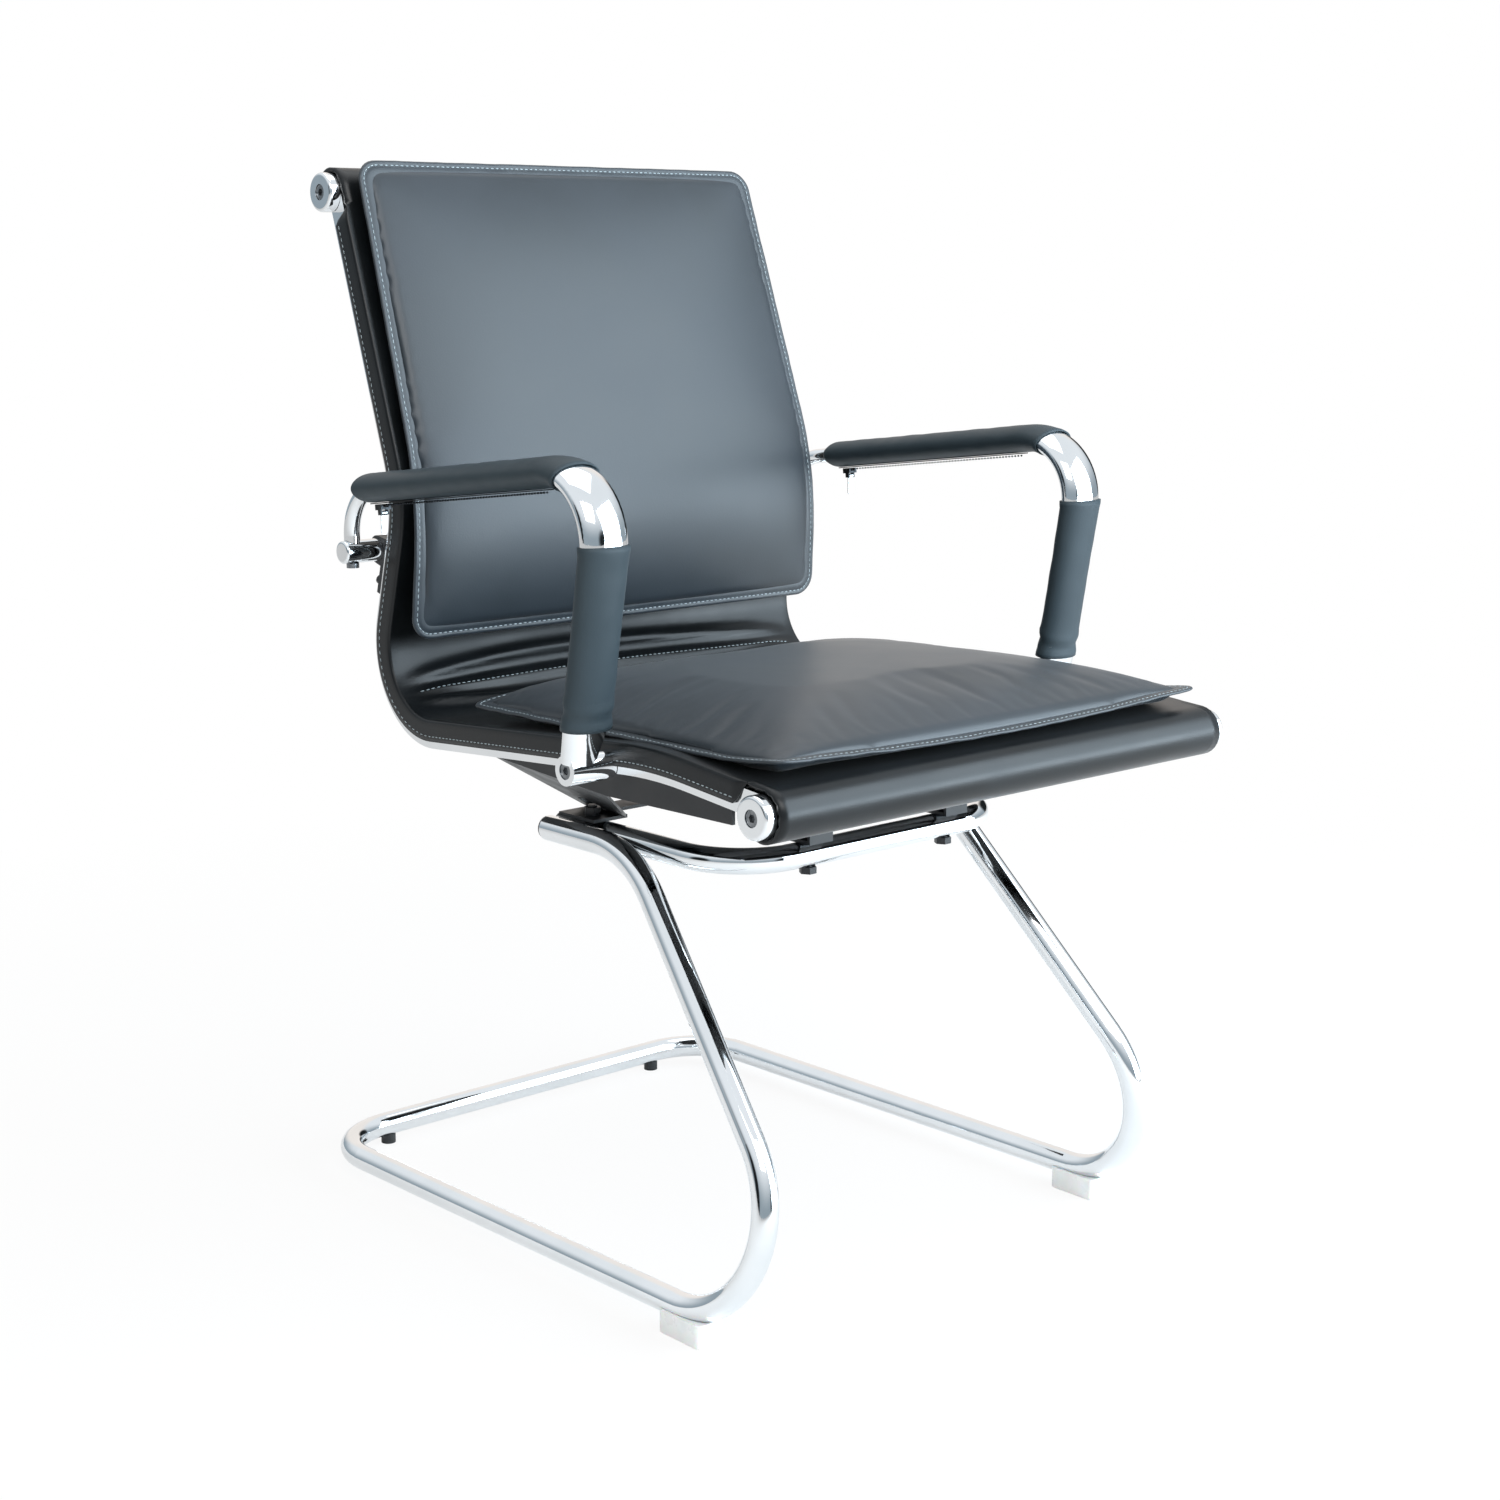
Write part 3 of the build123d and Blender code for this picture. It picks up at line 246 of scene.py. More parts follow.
class Wardrobe:
    """Makes each finish's material once and hands it out."""

    def __init__(self) -> None:
        """Start with no material made."""
        self.made: dict[str, bpy.types.Material] = {}

    def give(self, piece: Piece, finish: Finish) -> None:
        """Put a finish on a whole piece.

        Args:
            piece: The object to dress.
            finish: The finish it gets.
        """
        if finish.name not in self.made:
            self.made[finish.name] = finish.material()
        piece.data.materials.clear()
        piece.data.materials.append(self.made[finish.name])


@dataclass(frozen=True)
class Run:
    """A stretch of constant curvature in a flat line, with its heading in radians."""

    start: Vector
    heading: float
    length: float
    curvature: float = 0.0

    def at(self, distance: float) -> tuple[Vector, Vector, Vector]:
        """Read the run.

        Args:
            distance: How far along the run; less than 0 and past its end are allowed.

        Returns:
            The point, the unit heading and the unit normal to its left.
        """
        turned = self.heading + self.curvature * distance
        along = Vector((math.cos(turned), math.sin(turned)))
        if self.curvature:
            first = math.sin(turned) - math.sin(self.heading)
            second = math.cos(self.heading) - math.cos(turned)
            point = self.start + Vector((first, second)) / self.curvature
        else:
            point = self.start + along * distance
        return point, along, Vector((-along.y, along.x))


class Course:
    """A flat line of straight runs with rounded corners, read by millimetres along it."""

    def __init__(self, corners: Sequence[Pair], radii: Sequence[float], curl: float = 0.0) -> None:
        """Round the corners off.

        Args:
            corners: The line's corner points.
            radii: The bend radius at each inner corner.
            curl: Curvature with which the line goes on past both of its ends.
        """
        points = [Vector(corner) for corner in corners]
        self.runs: list[Run] = []
        self.curl = curl
        start = points[0]
        for before, corner, after, radius in zip(points, points[1:], points[2:], radii):
            coming, leaving = (corner - before).normalized(), (after - corner).normalized()
            heading = math.atan2(coming.y, coming.x)
            turn = math.atan2(coming.cross(leaving), coming.dot(leaving))
            reach = radius * math.tan(abs(turn) / 2)
            bend_start = corner - coming * reach
            curvature = math.copysign(1 / radius, turn)
            self.runs.append(Run(start, heading, (bend_start - start).length))
            self.runs.append(Run(bend_start, heading, radius * abs(turn), curvature))
            start = corner + leaving * reach
        last = points[-1] - points[-2]
        self.runs.append(Run(start, math.atan2(last.y, last.x), (points[-1] - start).length))
        self.length = sum(run.length for run in self.runs)

    def at(self, distance: float) -> tuple[Vector, Vector, Vector]:
        """Read the line.

        Args:
            distance: How far along the line; before 0 and past the end it curls.

        Returns:
            The point, the unit heading and the unit normal to its left.
        """
        if distance < 0:
            first = self.runs[0]
            return Run(first.start, first.heading, 0.0, self.curl).at(distance)
        left = distance
        for run in self.runs:
            if left <= run.length:
                return run.at(left)
            left -= run.length
        last = self.runs[-1]
        end = last.at(last.length)[0]
        turned = last.heading + last.curvature * last.length
        return Run(end, turned, 0.0, self.curl).at(left)

    def finder(self, step: float = 2.0) -> Callable[[Vector], Pair]:
        """Make a search for the nearest place on the line.

        Args:
            step: Spacing of the places that are compared.

        Returns:
            A function from a point to its distance along the line and its offset to the left.
        """
        count = int(self.length / step) + 1
        tree = kdtree.KDTree(count + 1)
        for number in range(count + 1):
            tree.insert((*self.at(self.length * number / count)[0], 0.0), number)
        tree.balance()

        def find(point: Vector) -> Pair:
            """Find the nearest place.

            Args:
                point: A point in the line's plane.

            Returns:
                Distance along the line and offset to its left.
            """
            number = tree.find((*point, 0.0))[1]
            place, along, normal = self.at(self.length * number / count)
            gap = point - place
            return self.length * number / count + gap.dot(along), gap.dot(normal)

        return find


def in_chair(across: float, side_point: Vector) -> Vector:
    """Turn millimetres across the chair and a (y, z) point into a place in metres."""
    return Vector((across, side_point.x, side_point.y)) * MM


def leaning(foot: Pair, lean_deg: float, length: float) -> Pair:
    """Upper end of a line of a length that leans back from upright."""
    lean = math.radians(lean_deg)
    return foot[0] + length * math.sin(lean), foot[1] + length * math.cos(lean)


def mapped_grid(mesh: Mesh, columns: int, rows: int, place: OnGrid) -> None:
    """Add a grid and carry each of its points to a place.

    Args:
        mesh: The mesh that gets the grid.
        columns: Number of faces across.
        rows: Number of faces along.
        place: Function from the column and row numbers of a point to its place in metres.
    """
    made = bmesh.ops.create_grid(mesh, x_segments=columns, y_segments=rows, size=0.5)
    for vert in made["verts"]:
        vert.co = place((vert.co.x + 0.5) * columns, (vert.co.y + 0.5) * rows)


def finished(name: str, mesh: Mesh, merge_mm: float = 0.02) -> Piece:
    """Close a mesh's seams, turn its faces outwards and make it a smooth object.

    Args:
        name: The piece's name.
        mesh: Its mesh, which is freed.
        merge_mm: Points closer than this become one.

    Returns:
        The new object, at the origin.
    """
    bmesh.ops.remove_doubles(mesh, verts=mesh.verts, dist=merge_mm * MM)
    bmesh.ops.dissolve_degenerate(mesh, edges=mesh.edges, dist=merge_mm * MM)
    bmesh.ops.recalc_face_normals(mesh, faces=mesh.faces)
    for face in mesh.faces:
        face.smooth = True
    data = bpy.data.meshes.new(name)
    mesh.to_mesh(data)
    mesh.free()
    piece = bpy.data.objects.new(name, data)
    bpy.context.scene.collection.objects.link(piece)
    return piece


def bake_modifiers(piece: Piece) -> None:
    """Make a piece's modified shape its own mesh and take the modifiers off.

    Args:
        piece: The object to bake.
    """
    graph = bpy.context.evaluated_depsgraph_get()
    graph.update()
    shaped = bpy.data.meshes.new_from_object(piece.evaluated_get(graph))
    piece.modifiers.clear()
    old = piece.data
    shaped.name = old.name
    piece.data = shaped
    bpy.data.meshes.remove(old)


@dataclass
class ChairSizes:
    """Sizes that the soft pieces share with the solids, in millimetres."""

    profile: tuple[Pair, ...] = (
        (-316.6, 465.0), (-185.0, 476.5), (214.9, 445.7), (159.9, 640.3))
    back_lean_deg: float = 19.1
    back_length: float = 283.3
    profile_radii: tuple[float, ...] = (500.0, 60.0, 130.0)
    roll_radius: float = 18.8
    rail_front_half: float = 255.0
    rail_toe_in_deg: float = 2.18

    def sling_line(self) -> Course:
        """The sling's middle line from front roll to top roll, curling round both tubes."""
        top = leaning(self.profile[-1], self.back_lean_deg, self.back_length)
        return Course((*self.profile, top), self.profile_radii, -1 / self.roll_radius)

    def rail_face(self, depth: float) -> float:
        """Half width between the rails' outer faces at a depth y."""
        toe_in = math.tan(math.radians(self.rail_toe_in_deg))
        return self.rail_front_half - (depth - self.profile[0][0]) * toe_in


@dataclass
class StitchRow:
    """Sewn stitches that lie on a surface, as one mesh of small bodies, in millimetres."""

    name: str
    pitch: float = 5.4
    size: Triple = (4.0, 0.95, 0.76)
    mesh: Mesh = field(default_factory=bmesh.new)

    def sew(self, length: float, place: Along, outward: Along) -> None:
        """Lay stitches along a line.

        Args:
            length: Length of the line.
            place: Function from millimetres along the line to a place in metres.
            outward: Function from millimetres along the line to the outward direction.
        """
        count = max(int(length / self.pitch), 1)
        shape = Matrix.Diagonal((*(size * MM / 2 for size in self.size), 1.0))
        for number in range(count):
            middle = (number + 0.5) * length / count
            along = (place(middle + 0.5) - place(middle - 0.5)).normalized()
            up = outward(middle)
            up = (up - along * up.dot(along)).normalized()
            turn = Matrix((along, up.cross(along), up)).transposed().to_4x4()
            bmesh.ops.create_uvsphere(
                self.mesh, u_segments=6, v_segments=4, radius=1.0,
                matrix=Matrix.Translation(place(middle)) @ turn @ shape)

    def done(self) -> Piece:
        """Make the stitches an object."""
        return finished(self.name, self.mesh, merge_mm=0.001)


@dataclass
class Sling:
    """The sling: rolled round both cross tubes, lipped over the rails and tucked at the hip."""

    sizes: ChairSizes
    top: float = 2.5
    thickness: float = 4.6
    lip_thickness_share: float = 0.5
    overhang: float = 2.8
    roll_inset: float = 0.3
    lip_depth: float = 19.0
    lip_corner_r: float = 2.5
    lip_start: Pair = (18.0, 32.0)
    roll_turn_deg: float = 318.0
    slot_from_deg: float = 186.0
    slot_width: float = 11.0
    web_columns: int = 56
    corner_columns: int = 4
    lip_columns: int = 4
    row_mm: float = 4.0
    hip_run: int = 3
    tuck_places_deg: tuple[float, ...] = (28.0, 50.0, 72.0)
    tuck_height: float = 5.2
    tuck_width: float = 6.5
    tuck_sharpness: float = 1.5
    tuck_ends: Pair = (0.80, 1.0)
    tuck_fan: Pair = (1.15, 0.75)
    sway: float = 2.4
    sway_turns: Pair = (3.1, 1.7)
    seam_tuck: int = 1
    seam_reach: float = 0.93
    stitch_edge: float = 4.5
    line: Course = field(init=False)
    hip_start: float = field(init=False)
    roll_length: float = field(init=False)

    def __post_init__(self) -> None:
        """Work out the sling's line, where its hip bend starts and the length of a roll."""
        self.line = self.sizes.sling_line()
        self.hip_start = sum(run.length for run in self.line.runs[:self.hip_run])
        self.roll_length = self.sizes.roll_radius * math.radians(self.roll_turn_deg)

    def lip_share(self, distance: float) -> float:
        """How much of the lip stands at a distance along the line: none at the rolls."""
        return ease(min(distance, self.line.length - distance), *self.lip_start)

    def tuck_crest(self, number: int, share: float) -> float:
        """Where a fold of the hip bend runs: folds fan out from each rail and sway between.

        Args:
            number: Which fold.
            share: Place across, from -1 at one rail to 1 at the other.

        Returns:
            Millimetres along the sling's line.
        """
        radius = self.sizes.profile_radii[1]
        middle = self.tuck_places_deg[len(self.tuck_places_deg) // 2]
        widest, closing = self.tuck_fan
        fan = widest - closing * share * share
        spread = math.radians(self.tuck_places_deg[number] - middle) * fan
        by_share, by_number = self.sway_turns
        sway = self.sway * math.sin(by_share * share + by_number * number)
        return self.hip_start + radius * (math.radians(middle) + spread) + sway

    def tucks(self, distance: float, share: float) -> float:
        """Height of the folds in the hip bend.

        Args:
            distance: Millimetres along the sling's line.
            share: Place across, from -1 at one rail to 1 at the other.

        Returns:
            Millimetres that the surface stands proud.
        """
        ends = 1 - ease(abs(share), *self.tuck_ends)
        height = 0.0
        for number in range(len(self.tuck_places_deg)):
            gap = abs(distance - self.tuck_crest(number, share)) / self.tuck_width
            height = max(height, self.tuck_height * ends * math.exp(-gap ** self.tuck_sharpness))
        return height

    def surface(self, across: float, distance: float) -> Vector:
        """Place on the sling's outer surface.

        Args:
            across: -1 to 1 over the web, up to 1 more over the corner and 1 more down the lip.
            distance: Millimetres along the sling's line.

        Returns:
            The place in metres.
        """
        point, _, normal = self.line.at(distance)
        lip = self.lip_share(distance)
        rail = self.sizes.rail_face(point.x)
        half = rail - self.roll_inset + (self.overhang + self.roll_inset) * lip
        corner = self.lip_corner_r * lip
        reach, sign = abs(across), math.copysign(1.0, across)
        turn = math.radians(90) * min(max(reach - 1, 0.0), 1.0)
        drop = max(reach - 2, 0.0) * (self.lip_depth * lip - corner)
        out = min(reach, 1.0) * (half - corner) + corner * math.sin(turn)
        height = self.top - corner * (1 - math.cos(turn)) - drop
        if reach <= 1:
            height += self.tucks(distance, across)
        return in_chair(sign * out, point + normal * height)

    def across_stations(self) -> list[float]:
        """List the places across the sheet where the grid has a column of points.

        Returns:
            Places as surface() reads them, from one free edge to the other.
        """
        web = [number / (self.web_columns / 2) for number in range(self.web_columns // 2 + 1)]
        corner = [1 + (number + 1) / self.corner_columns for number in range(self.corner_columns)]
        lip = [2 + (number + 1) / self.lip_columns for number in range(self.lip_columns)]
        half = web + corner + lip
        return [-value for value in reversed(half[1:])] + half

    def build(self) -> Piece:
        """Model the sheet, open it where the rails leave the rolls and give it its thickness.

        Returns:
            The sling's object.
        """
        stations = self.across_stations()
        columns = len(stations) - 1
        span = self.line.length + 2 * self.roll_length
        rows = int(span / self.row_mm)
        mesh = bmesh.new()
        weight = mesh.verts.layers.deform.new()
        slot_start = self.sizes.roll_radius * math.radians(self.slot_from_deg)
        slot: set[bmesh.types.BMVert] = set()
        bmesh.ops.create_grid(mesh, x_segments=columns, y_segments=rows, size=0.5)
        for vert in mesh.verts:
            across = stations[round((vert.co.x + 0.5) * columns)]
            distance = (vert.co.y + 0.5) * rows / rows * span - self.roll_length
            over_edge = min(max(abs(across) - 1, 0.0), 1.0)
            vert[weight][0] = 1.0 - (1.0 - self.lip_thickness_share) * over_edge
            vert.co = self.surface(across, distance)
            past_end = max(-distance, distance - self.line.length)
            slot_edge = self.sizes.rail_face(vert.co.y / MM) - self.slot_width
            if past_end > slot_start and abs(vert.co.x) > slot_edge * MM:
                slot.add(vert)
        cut = [face for face in mesh.faces if all(vert in slot for vert in face.verts)]
        bmesh.ops.delete(mesh, geom=cut, context="FACES")
        sling = finished("sling_cover", mesh)
        sling.vertex_groups.new(name="thickness")
        wall = sling.modifiers.new("skin", "SOLIDIFY")
        wall.thickness = self.thickness * MM
        wall.offset = -1.0
        wall.vertex_group = "thickness"
        wall.thickness_vertex_group = 0.0
        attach(sling, CHAIR)
        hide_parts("sling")
        width = 2 * (self.sizes.rail_face(0.0) + self.lip_depth)
        return sling

    def stitch_edges(self) -> Piece:
        """Sew stitches along both lips, near their free edges, and along the hip's middle fold.

        Returns:
            The stitches.
        """
        row = StitchRow("sling_lip_stitches")
        start = self.lip_start[1]
        length = self.line.length - 2 * start
        across = 3 - self.stitch_edge / (self.lip_depth - self.lip_corner_r)
        for side in Side:
            row.sew(length, lambda travel: self.surface(side.value * across, start + travel),
                    lambda travel: Vector((side.value, 0.0, 0.0)))
        half = self.sizes.rail_face(self.line.at(self.tuck_crest(self.seam_tuck, 0.0))[0].x)

        def on_fold(travel: float) -> Vector:
            """Place on the crest of the sewn fold."""
            share = travel / half - self.seam_reach
            return self.surface(share, self.tuck_crest(self.seam_tuck, share))

        def off_fold(travel: float) -> Vector:
            """Find the direction away from the sling at the sewn fold.

            Args:
                travel: Millimetres along the fold.

            Returns:
                The sling's normal there.
            """
            crest = self.tuck_crest(self.seam_tuck, travel / half - self.seam_reach)
            normal = self.line.at(crest)[2]
            return Vector((0.0, normal.x, normal.y))

        row.sew(2 * half * self.seam_reach, on_fold, off_fold)
        stitches = row.done()
        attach(stitches, CHAIR)
        return stitches


@dataclass(frozen=True)
class Stuffing:
    """Settings of the cloth run that stuffs a pad's core."""

    voxel_mm: float = 5.0
    smooth_steps: int = 8
    smooth_factor: float = 0.5
    pressure: float = 4.0
    slack: float = 0.0
    move_cap_mm: float = 7.0
    pin_rim_mm: float = 12.0
    pin_height_mm: float = 1.0
    quality: int = 5
    mass: float = 0.3
    stiffness: float = 15.0
    bending: float = 0.6
    frames: int = 20


@dataclass
class Pad:
    """A cushion: a stuffed core, settled as cloth, with a flat stitched border round it."""

    node: str
    line: Course
    halves: Pair
    corner_r: float
    rise: float
    sling: Course
    stuffing: Stuffing = Stuffing()
    core_inset: float = 5.0
    flange: float = 10.0
    border_section: tuple[Pair, ...] = (
        (17.0, 0.6), (13.0, 1.1), (9.5, 1.5), (6.5, 1.35), (4.6, 0.75), (3.2, 1.25), (1.5, 1.45),
        (0.4, 0.9), (0.0, 0.0), (0.4, -0.9), (1.5, -1.4), (6.0, -1.4), (17.0, -1.0))
    border_step: float = 4.0
    ripple: float = 0.7
    ripple_mm: Pair = (23.0, 9.0)
    fine_ripple_share: float = 0.5
    lining_inset: float = 12.0
    lining_half_t: float = 0.9
    lining_coarser: int = 3
    stitch_at: float = 4.6
    stitch_height: float = 1.0
    dome_powers: Pair = (4.0, 0.62)
    belly: float = 12.0
    least_belly: float = 0.4
    belly_inset: float = 18.0
    sling_clear: float = 3.4
    sling_step: float = 4.0
    columns: int = 72
    rows: int = 60
    fill: float = 0.7
    border_fill: float = 0.1
    droop: Callable[[float, float], float] = lambda across, distance: 0.0

    def half(self, distance: float) -> float:
        """Half width of the pad at a distance along its line."""
        return self.halves[0] + (self.halves[1] - self.halves[0]) * distance / self.line.length

    def at(self, across: float, distance: float, height: float) -> Vector:
        """Place by millimetres across, along the pad's line and above it."""
        point, _, normal = self.line.at(min(max(distance, 0.0), self.line.length))
        return in_chair(across, point + normal * (height + self.droop(across, distance)))

    def spread(self, column: float, row: float, grid: tuple[int, int], inset: float) -> Pair:
        """Carry a grid point into the pad's outline.

        Args:
            column: Its column number.
            row: Its row number.
            grid: Number of columns and rows.
            inset: Millimetres that the grid stays inside the outline.

        Returns:
            Millimetres across and along the pad.
        """
        columns, rows = grid
        distance = inset + (self.line.length - 2 * inset) * row / rows
        return (2 * column / columns - 1) * (self.half(distance) - inset), distance

    def rim_distance(self, across: float, distance: float) -> float:
        """How far a place is from the nearest edge of the core."""
        ends = min(distance, self.line.length - distance) - self.core_inset
        return min(self.half(distance) - self.core_inset - abs(across), ends)

    def crown(self, across: float, distance: float) -> float:
        """Shape the core's upper side: a smooth dome that falls to its rim.

        Args:
            across: Millimetres from the pad's middle line.
            distance: Millimetres along the pad's line.

        Returns:
            Millimetres above the pad's line.
        """
        span = self.line.length / 2
        half, reach = self.half(distance) - self.core_inset, span - self.core_inset
        flat, steep = self.dome_powers
        rise = 1.0
        for share in (across / half, (distance - span) / reach):
            rise *= max(1 - abs(share) ** flat, 0.0) ** steep
        return self.rise * rise

    def room_below(self, distance: float) -> float:
        """Find the depth that the core's lower side may take before it meets the sling.

        Args:
            distance: Millimetres along the pad's line.

        Returns:
            Millimetres below the pad's line.
        """
        point = self.line.at(distance)[0]
        steps = int(self.sling.length / self.sling_step)
        places = (self.sling.at(self.sling.length * step / steps)[0] for step in range(steps + 1))
        nearest = min((place - point).length for place in places)
        return max(min(nearest - self.sling_clear, self.belly), self.least_belly)

    def core(self) -> Piece:
        """Model the stuffed core as two grids sewn together at the rim.

        Returns:
            The core before it is inflated.
        """
        mesh = bmesh.new()
        grid = self.columns, self.rows
        room = [self.room_below(self.spread(0, row, grid, self.core_inset)[1])
                for row in range(self.rows + 1)]

        def upper(column: float, row: float) -> Vector:
            """Place on the upper side."""
            across, distance = self.spread(column, row, grid, self.core_inset)
            return self.at(across, distance, self.crown(across, distance))

        def lower(column: float, row: float) -> Vector:
            """Find a place on the lower side.

            Args:
                column: The point's column number.
                row: The point's row number.

            Returns:
                The place in metres.
            """
            across, distance = self.spread(column, row, grid, self.core_inset)
            depth = ease(self.rim_distance(across, distance), 0.0, self.belly_inset)
            return self.at(across, distance, -room[round(row)] * depth)

        mapped_grid(mesh, *grid, upper)
        mapped_grid(mesh, *grid, lower)
        return finished(f"{self.node}_core", mesh)

    def inflate(self, core: Piece) -> None:
        """Stuff the core: cloth under pressure, pinned at its rim and where it lies on the sling.

        Args:
            core: The core, whose mesh takes the simulated shape.
        """
        stuffing = self.stuffing
        remesh = core.modifiers.new("even_cloth", "REMESH")
        remesh.mode = "VOXEL"
        remesh.voxel_size = stuffing.voxel_mm * MM
        even = core.modifiers.new("even_rim", "SMOOTH")
        even.factor, even.iterations = stuffing.smooth_factor, stuffing.smooth_steps
        bake_modifiers(core)
        find = self.line.finder()
        pins = core.vertex_groups.new(name="pins")
        for vert in core.data.vertices:
            distance, height = find(Vector((vert.co.y, vert.co.z)) / MM)
            in_rim = self.rim_distance(vert.co.x / MM, distance) < stuffing.pin_rim_mm
            if height < stuffing.pin_height_mm or in_rim:
                pins.add([vert.index], 1.0, "REPLACE")
        start = [vert.co.copy() for vert in core.data.vertices]
        cloth = core.modifiers.new("stuffing", "CLOTH")
        cloth.settings.quality = stuffing.quality
        cloth.settings.mass = stuffing.mass
        cloth.settings.tension_stiffness = stuffing.stiffness
        cloth.settings.compression_stiffness = stuffing.stiffness
        cloth.settings.bending_stiffness = stuffing.bending
        cloth.settings.use_pressure = True
        cloth.settings.uniform_pressure_force = stuffing.pressure
        cloth.settings.shrink_min = stuffing.slack
        cloth.settings.vertex_group_mass = pins.name
        cloth.settings.effector_weights.gravity = 0.0
        cloth.collision_settings.use_collision = False
        cloth.point_cache.frame_start = 1
        cloth.point_cache.frame_end = stuffing.frames
        for number in range(stuffing.frames):
            bpy.context.scene.frame_set(number + 1)
        bake_modifiers(core)
        bpy.context.scene.frame_set(1)
        cap = stuffing.move_cap_mm * MM
        for vert, before in zip(core.data.vertices, start):
            step = vert.co - before
            if step.length > cap:
                vert.co = before + step.normalized() * cap
        for polygon in core.data.polygons:
            polygon.use_smooth = True

    def outline(self) -> Course:
        """Draw the pad's outer edge.

        Returns:
            A flat (across, along) line, from the middle of an end round to it.
        """
        (first, last), length = self.halves, self.line.length
        corners = (
            (0.0, 0.0), (first, 0.0), (last, length), (-last, length), (-first, 0.0), (0.0, 0.0))
        return Course(corners, (self.corner_r,) * 4)

    def on_border(self, edge: Course, travel: float, inward: float, height: float) -> Vector:
        """Place on the border.

        Args:
            edge: The pad's outline.
            travel: Millimetres round the outline.
            inward: Millimetres in from the outer edge.
            height: Millimetres above the border's middle.

        Returns:
            The place in metres.
        """
        point, _, normal = edge.at(travel % edge.length)
        flat = point + normal * inward
        outer = 1 - min(inward / self.flange, 1.0)
        coarse, fine = (
            noise.noise(Vector((flat.x / size, flat.y / size, self.rise)))
            for size in self.ripple_mm)
        ripple = outer * self.ripple * (coarse + self.fine_ripple_share * fine)
        return self.at(flat.x, flat.y, height + ripple)

    def welt(self) -> Piece:
        """Model the flat stitched border.

        Returns:
            The border's object.
        """
        edge = self.outline()
        mesh = bmesh.new()
        section = self.border_section
        rows = int(edge.length / self.border_step)

        def place(column: float, row: float) -> Vector:
            """Place of a point of the border's closed section."""
            inward, height = section[round(column) % len(section)]
            return self.on_border(edge, edge.length * (row % rows) / rows, inward, height)

        mapped_grid(mesh, len(section), rows, place)
        for height in (self.lining_half_t, -self.lining_half_t):
            self.lining(mesh, height)
        return finished(f"{self.node}_border", mesh)

    def lining(self, mesh: Mesh, height: float) -> None:
        """Add one face of the thin lining that closes the border under the stuffed core.

        Args:
            mesh: The border's mesh.
            height: Millimetres of the face above the border's middle.
        """
        columns, rows = self.columns // self.lining_coarser, self.rows // self.lining_coarser

        def place(column: float, row: float) -> Vector:
            """Find a place on the face, which meets the border's middle at its rim.

            Args:
                column: The point's column number.
                row: The point's row number.

            Returns:
                The place in metres.
            """
            across, distance = self.spread(column, row, (columns, rows), self.lining_inset)
            at_rim = round(column) in (0, columns) or round(row) in (0, rows)
            return self.at(across, distance, 0.0 if at_rim else height)

        mapped_grid(mesh, columns, rows, place)

    def stitches(self) -> Piece:
        """Sew the row of stitches on the border's upper side.

        Returns:
            The stitches.
        """
        edge = self.outline()
        row = StitchRow(f"{self.node}_stitches")

        def place(travel: float) -> Vector:
            """Place of a stitch."""
            return self.on_border(edge, travel, self.stitch_at, self.stitch_height)

        def outward(travel: float) -> Vector:
            """Direction away from the border's upper side."""
            above = self.on_border(edge, travel, self.stitch_at, self.stitch_height + 1)
            return above - place(travel)

        row.sew(edge.length, place, outward)
        return row.done()

    def build(self) -> tuple[Piece, Piece, Piece]:
        """Make the whole pad and put it on the chair.

        Returns:
            The core, the border and the stitches.
        """
        core, border, stitches = self.core(), self.welt(), self.stitches()
        self.inflate(core)
        rounding = core.modifiers.new("rounding", "SUBSURF")
        rounding.levels = rounding.render_levels = 1
        for piece in (core, border, stitches):
            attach(piece, CHAIR)
        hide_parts(self.node)
        return core, border, stitches


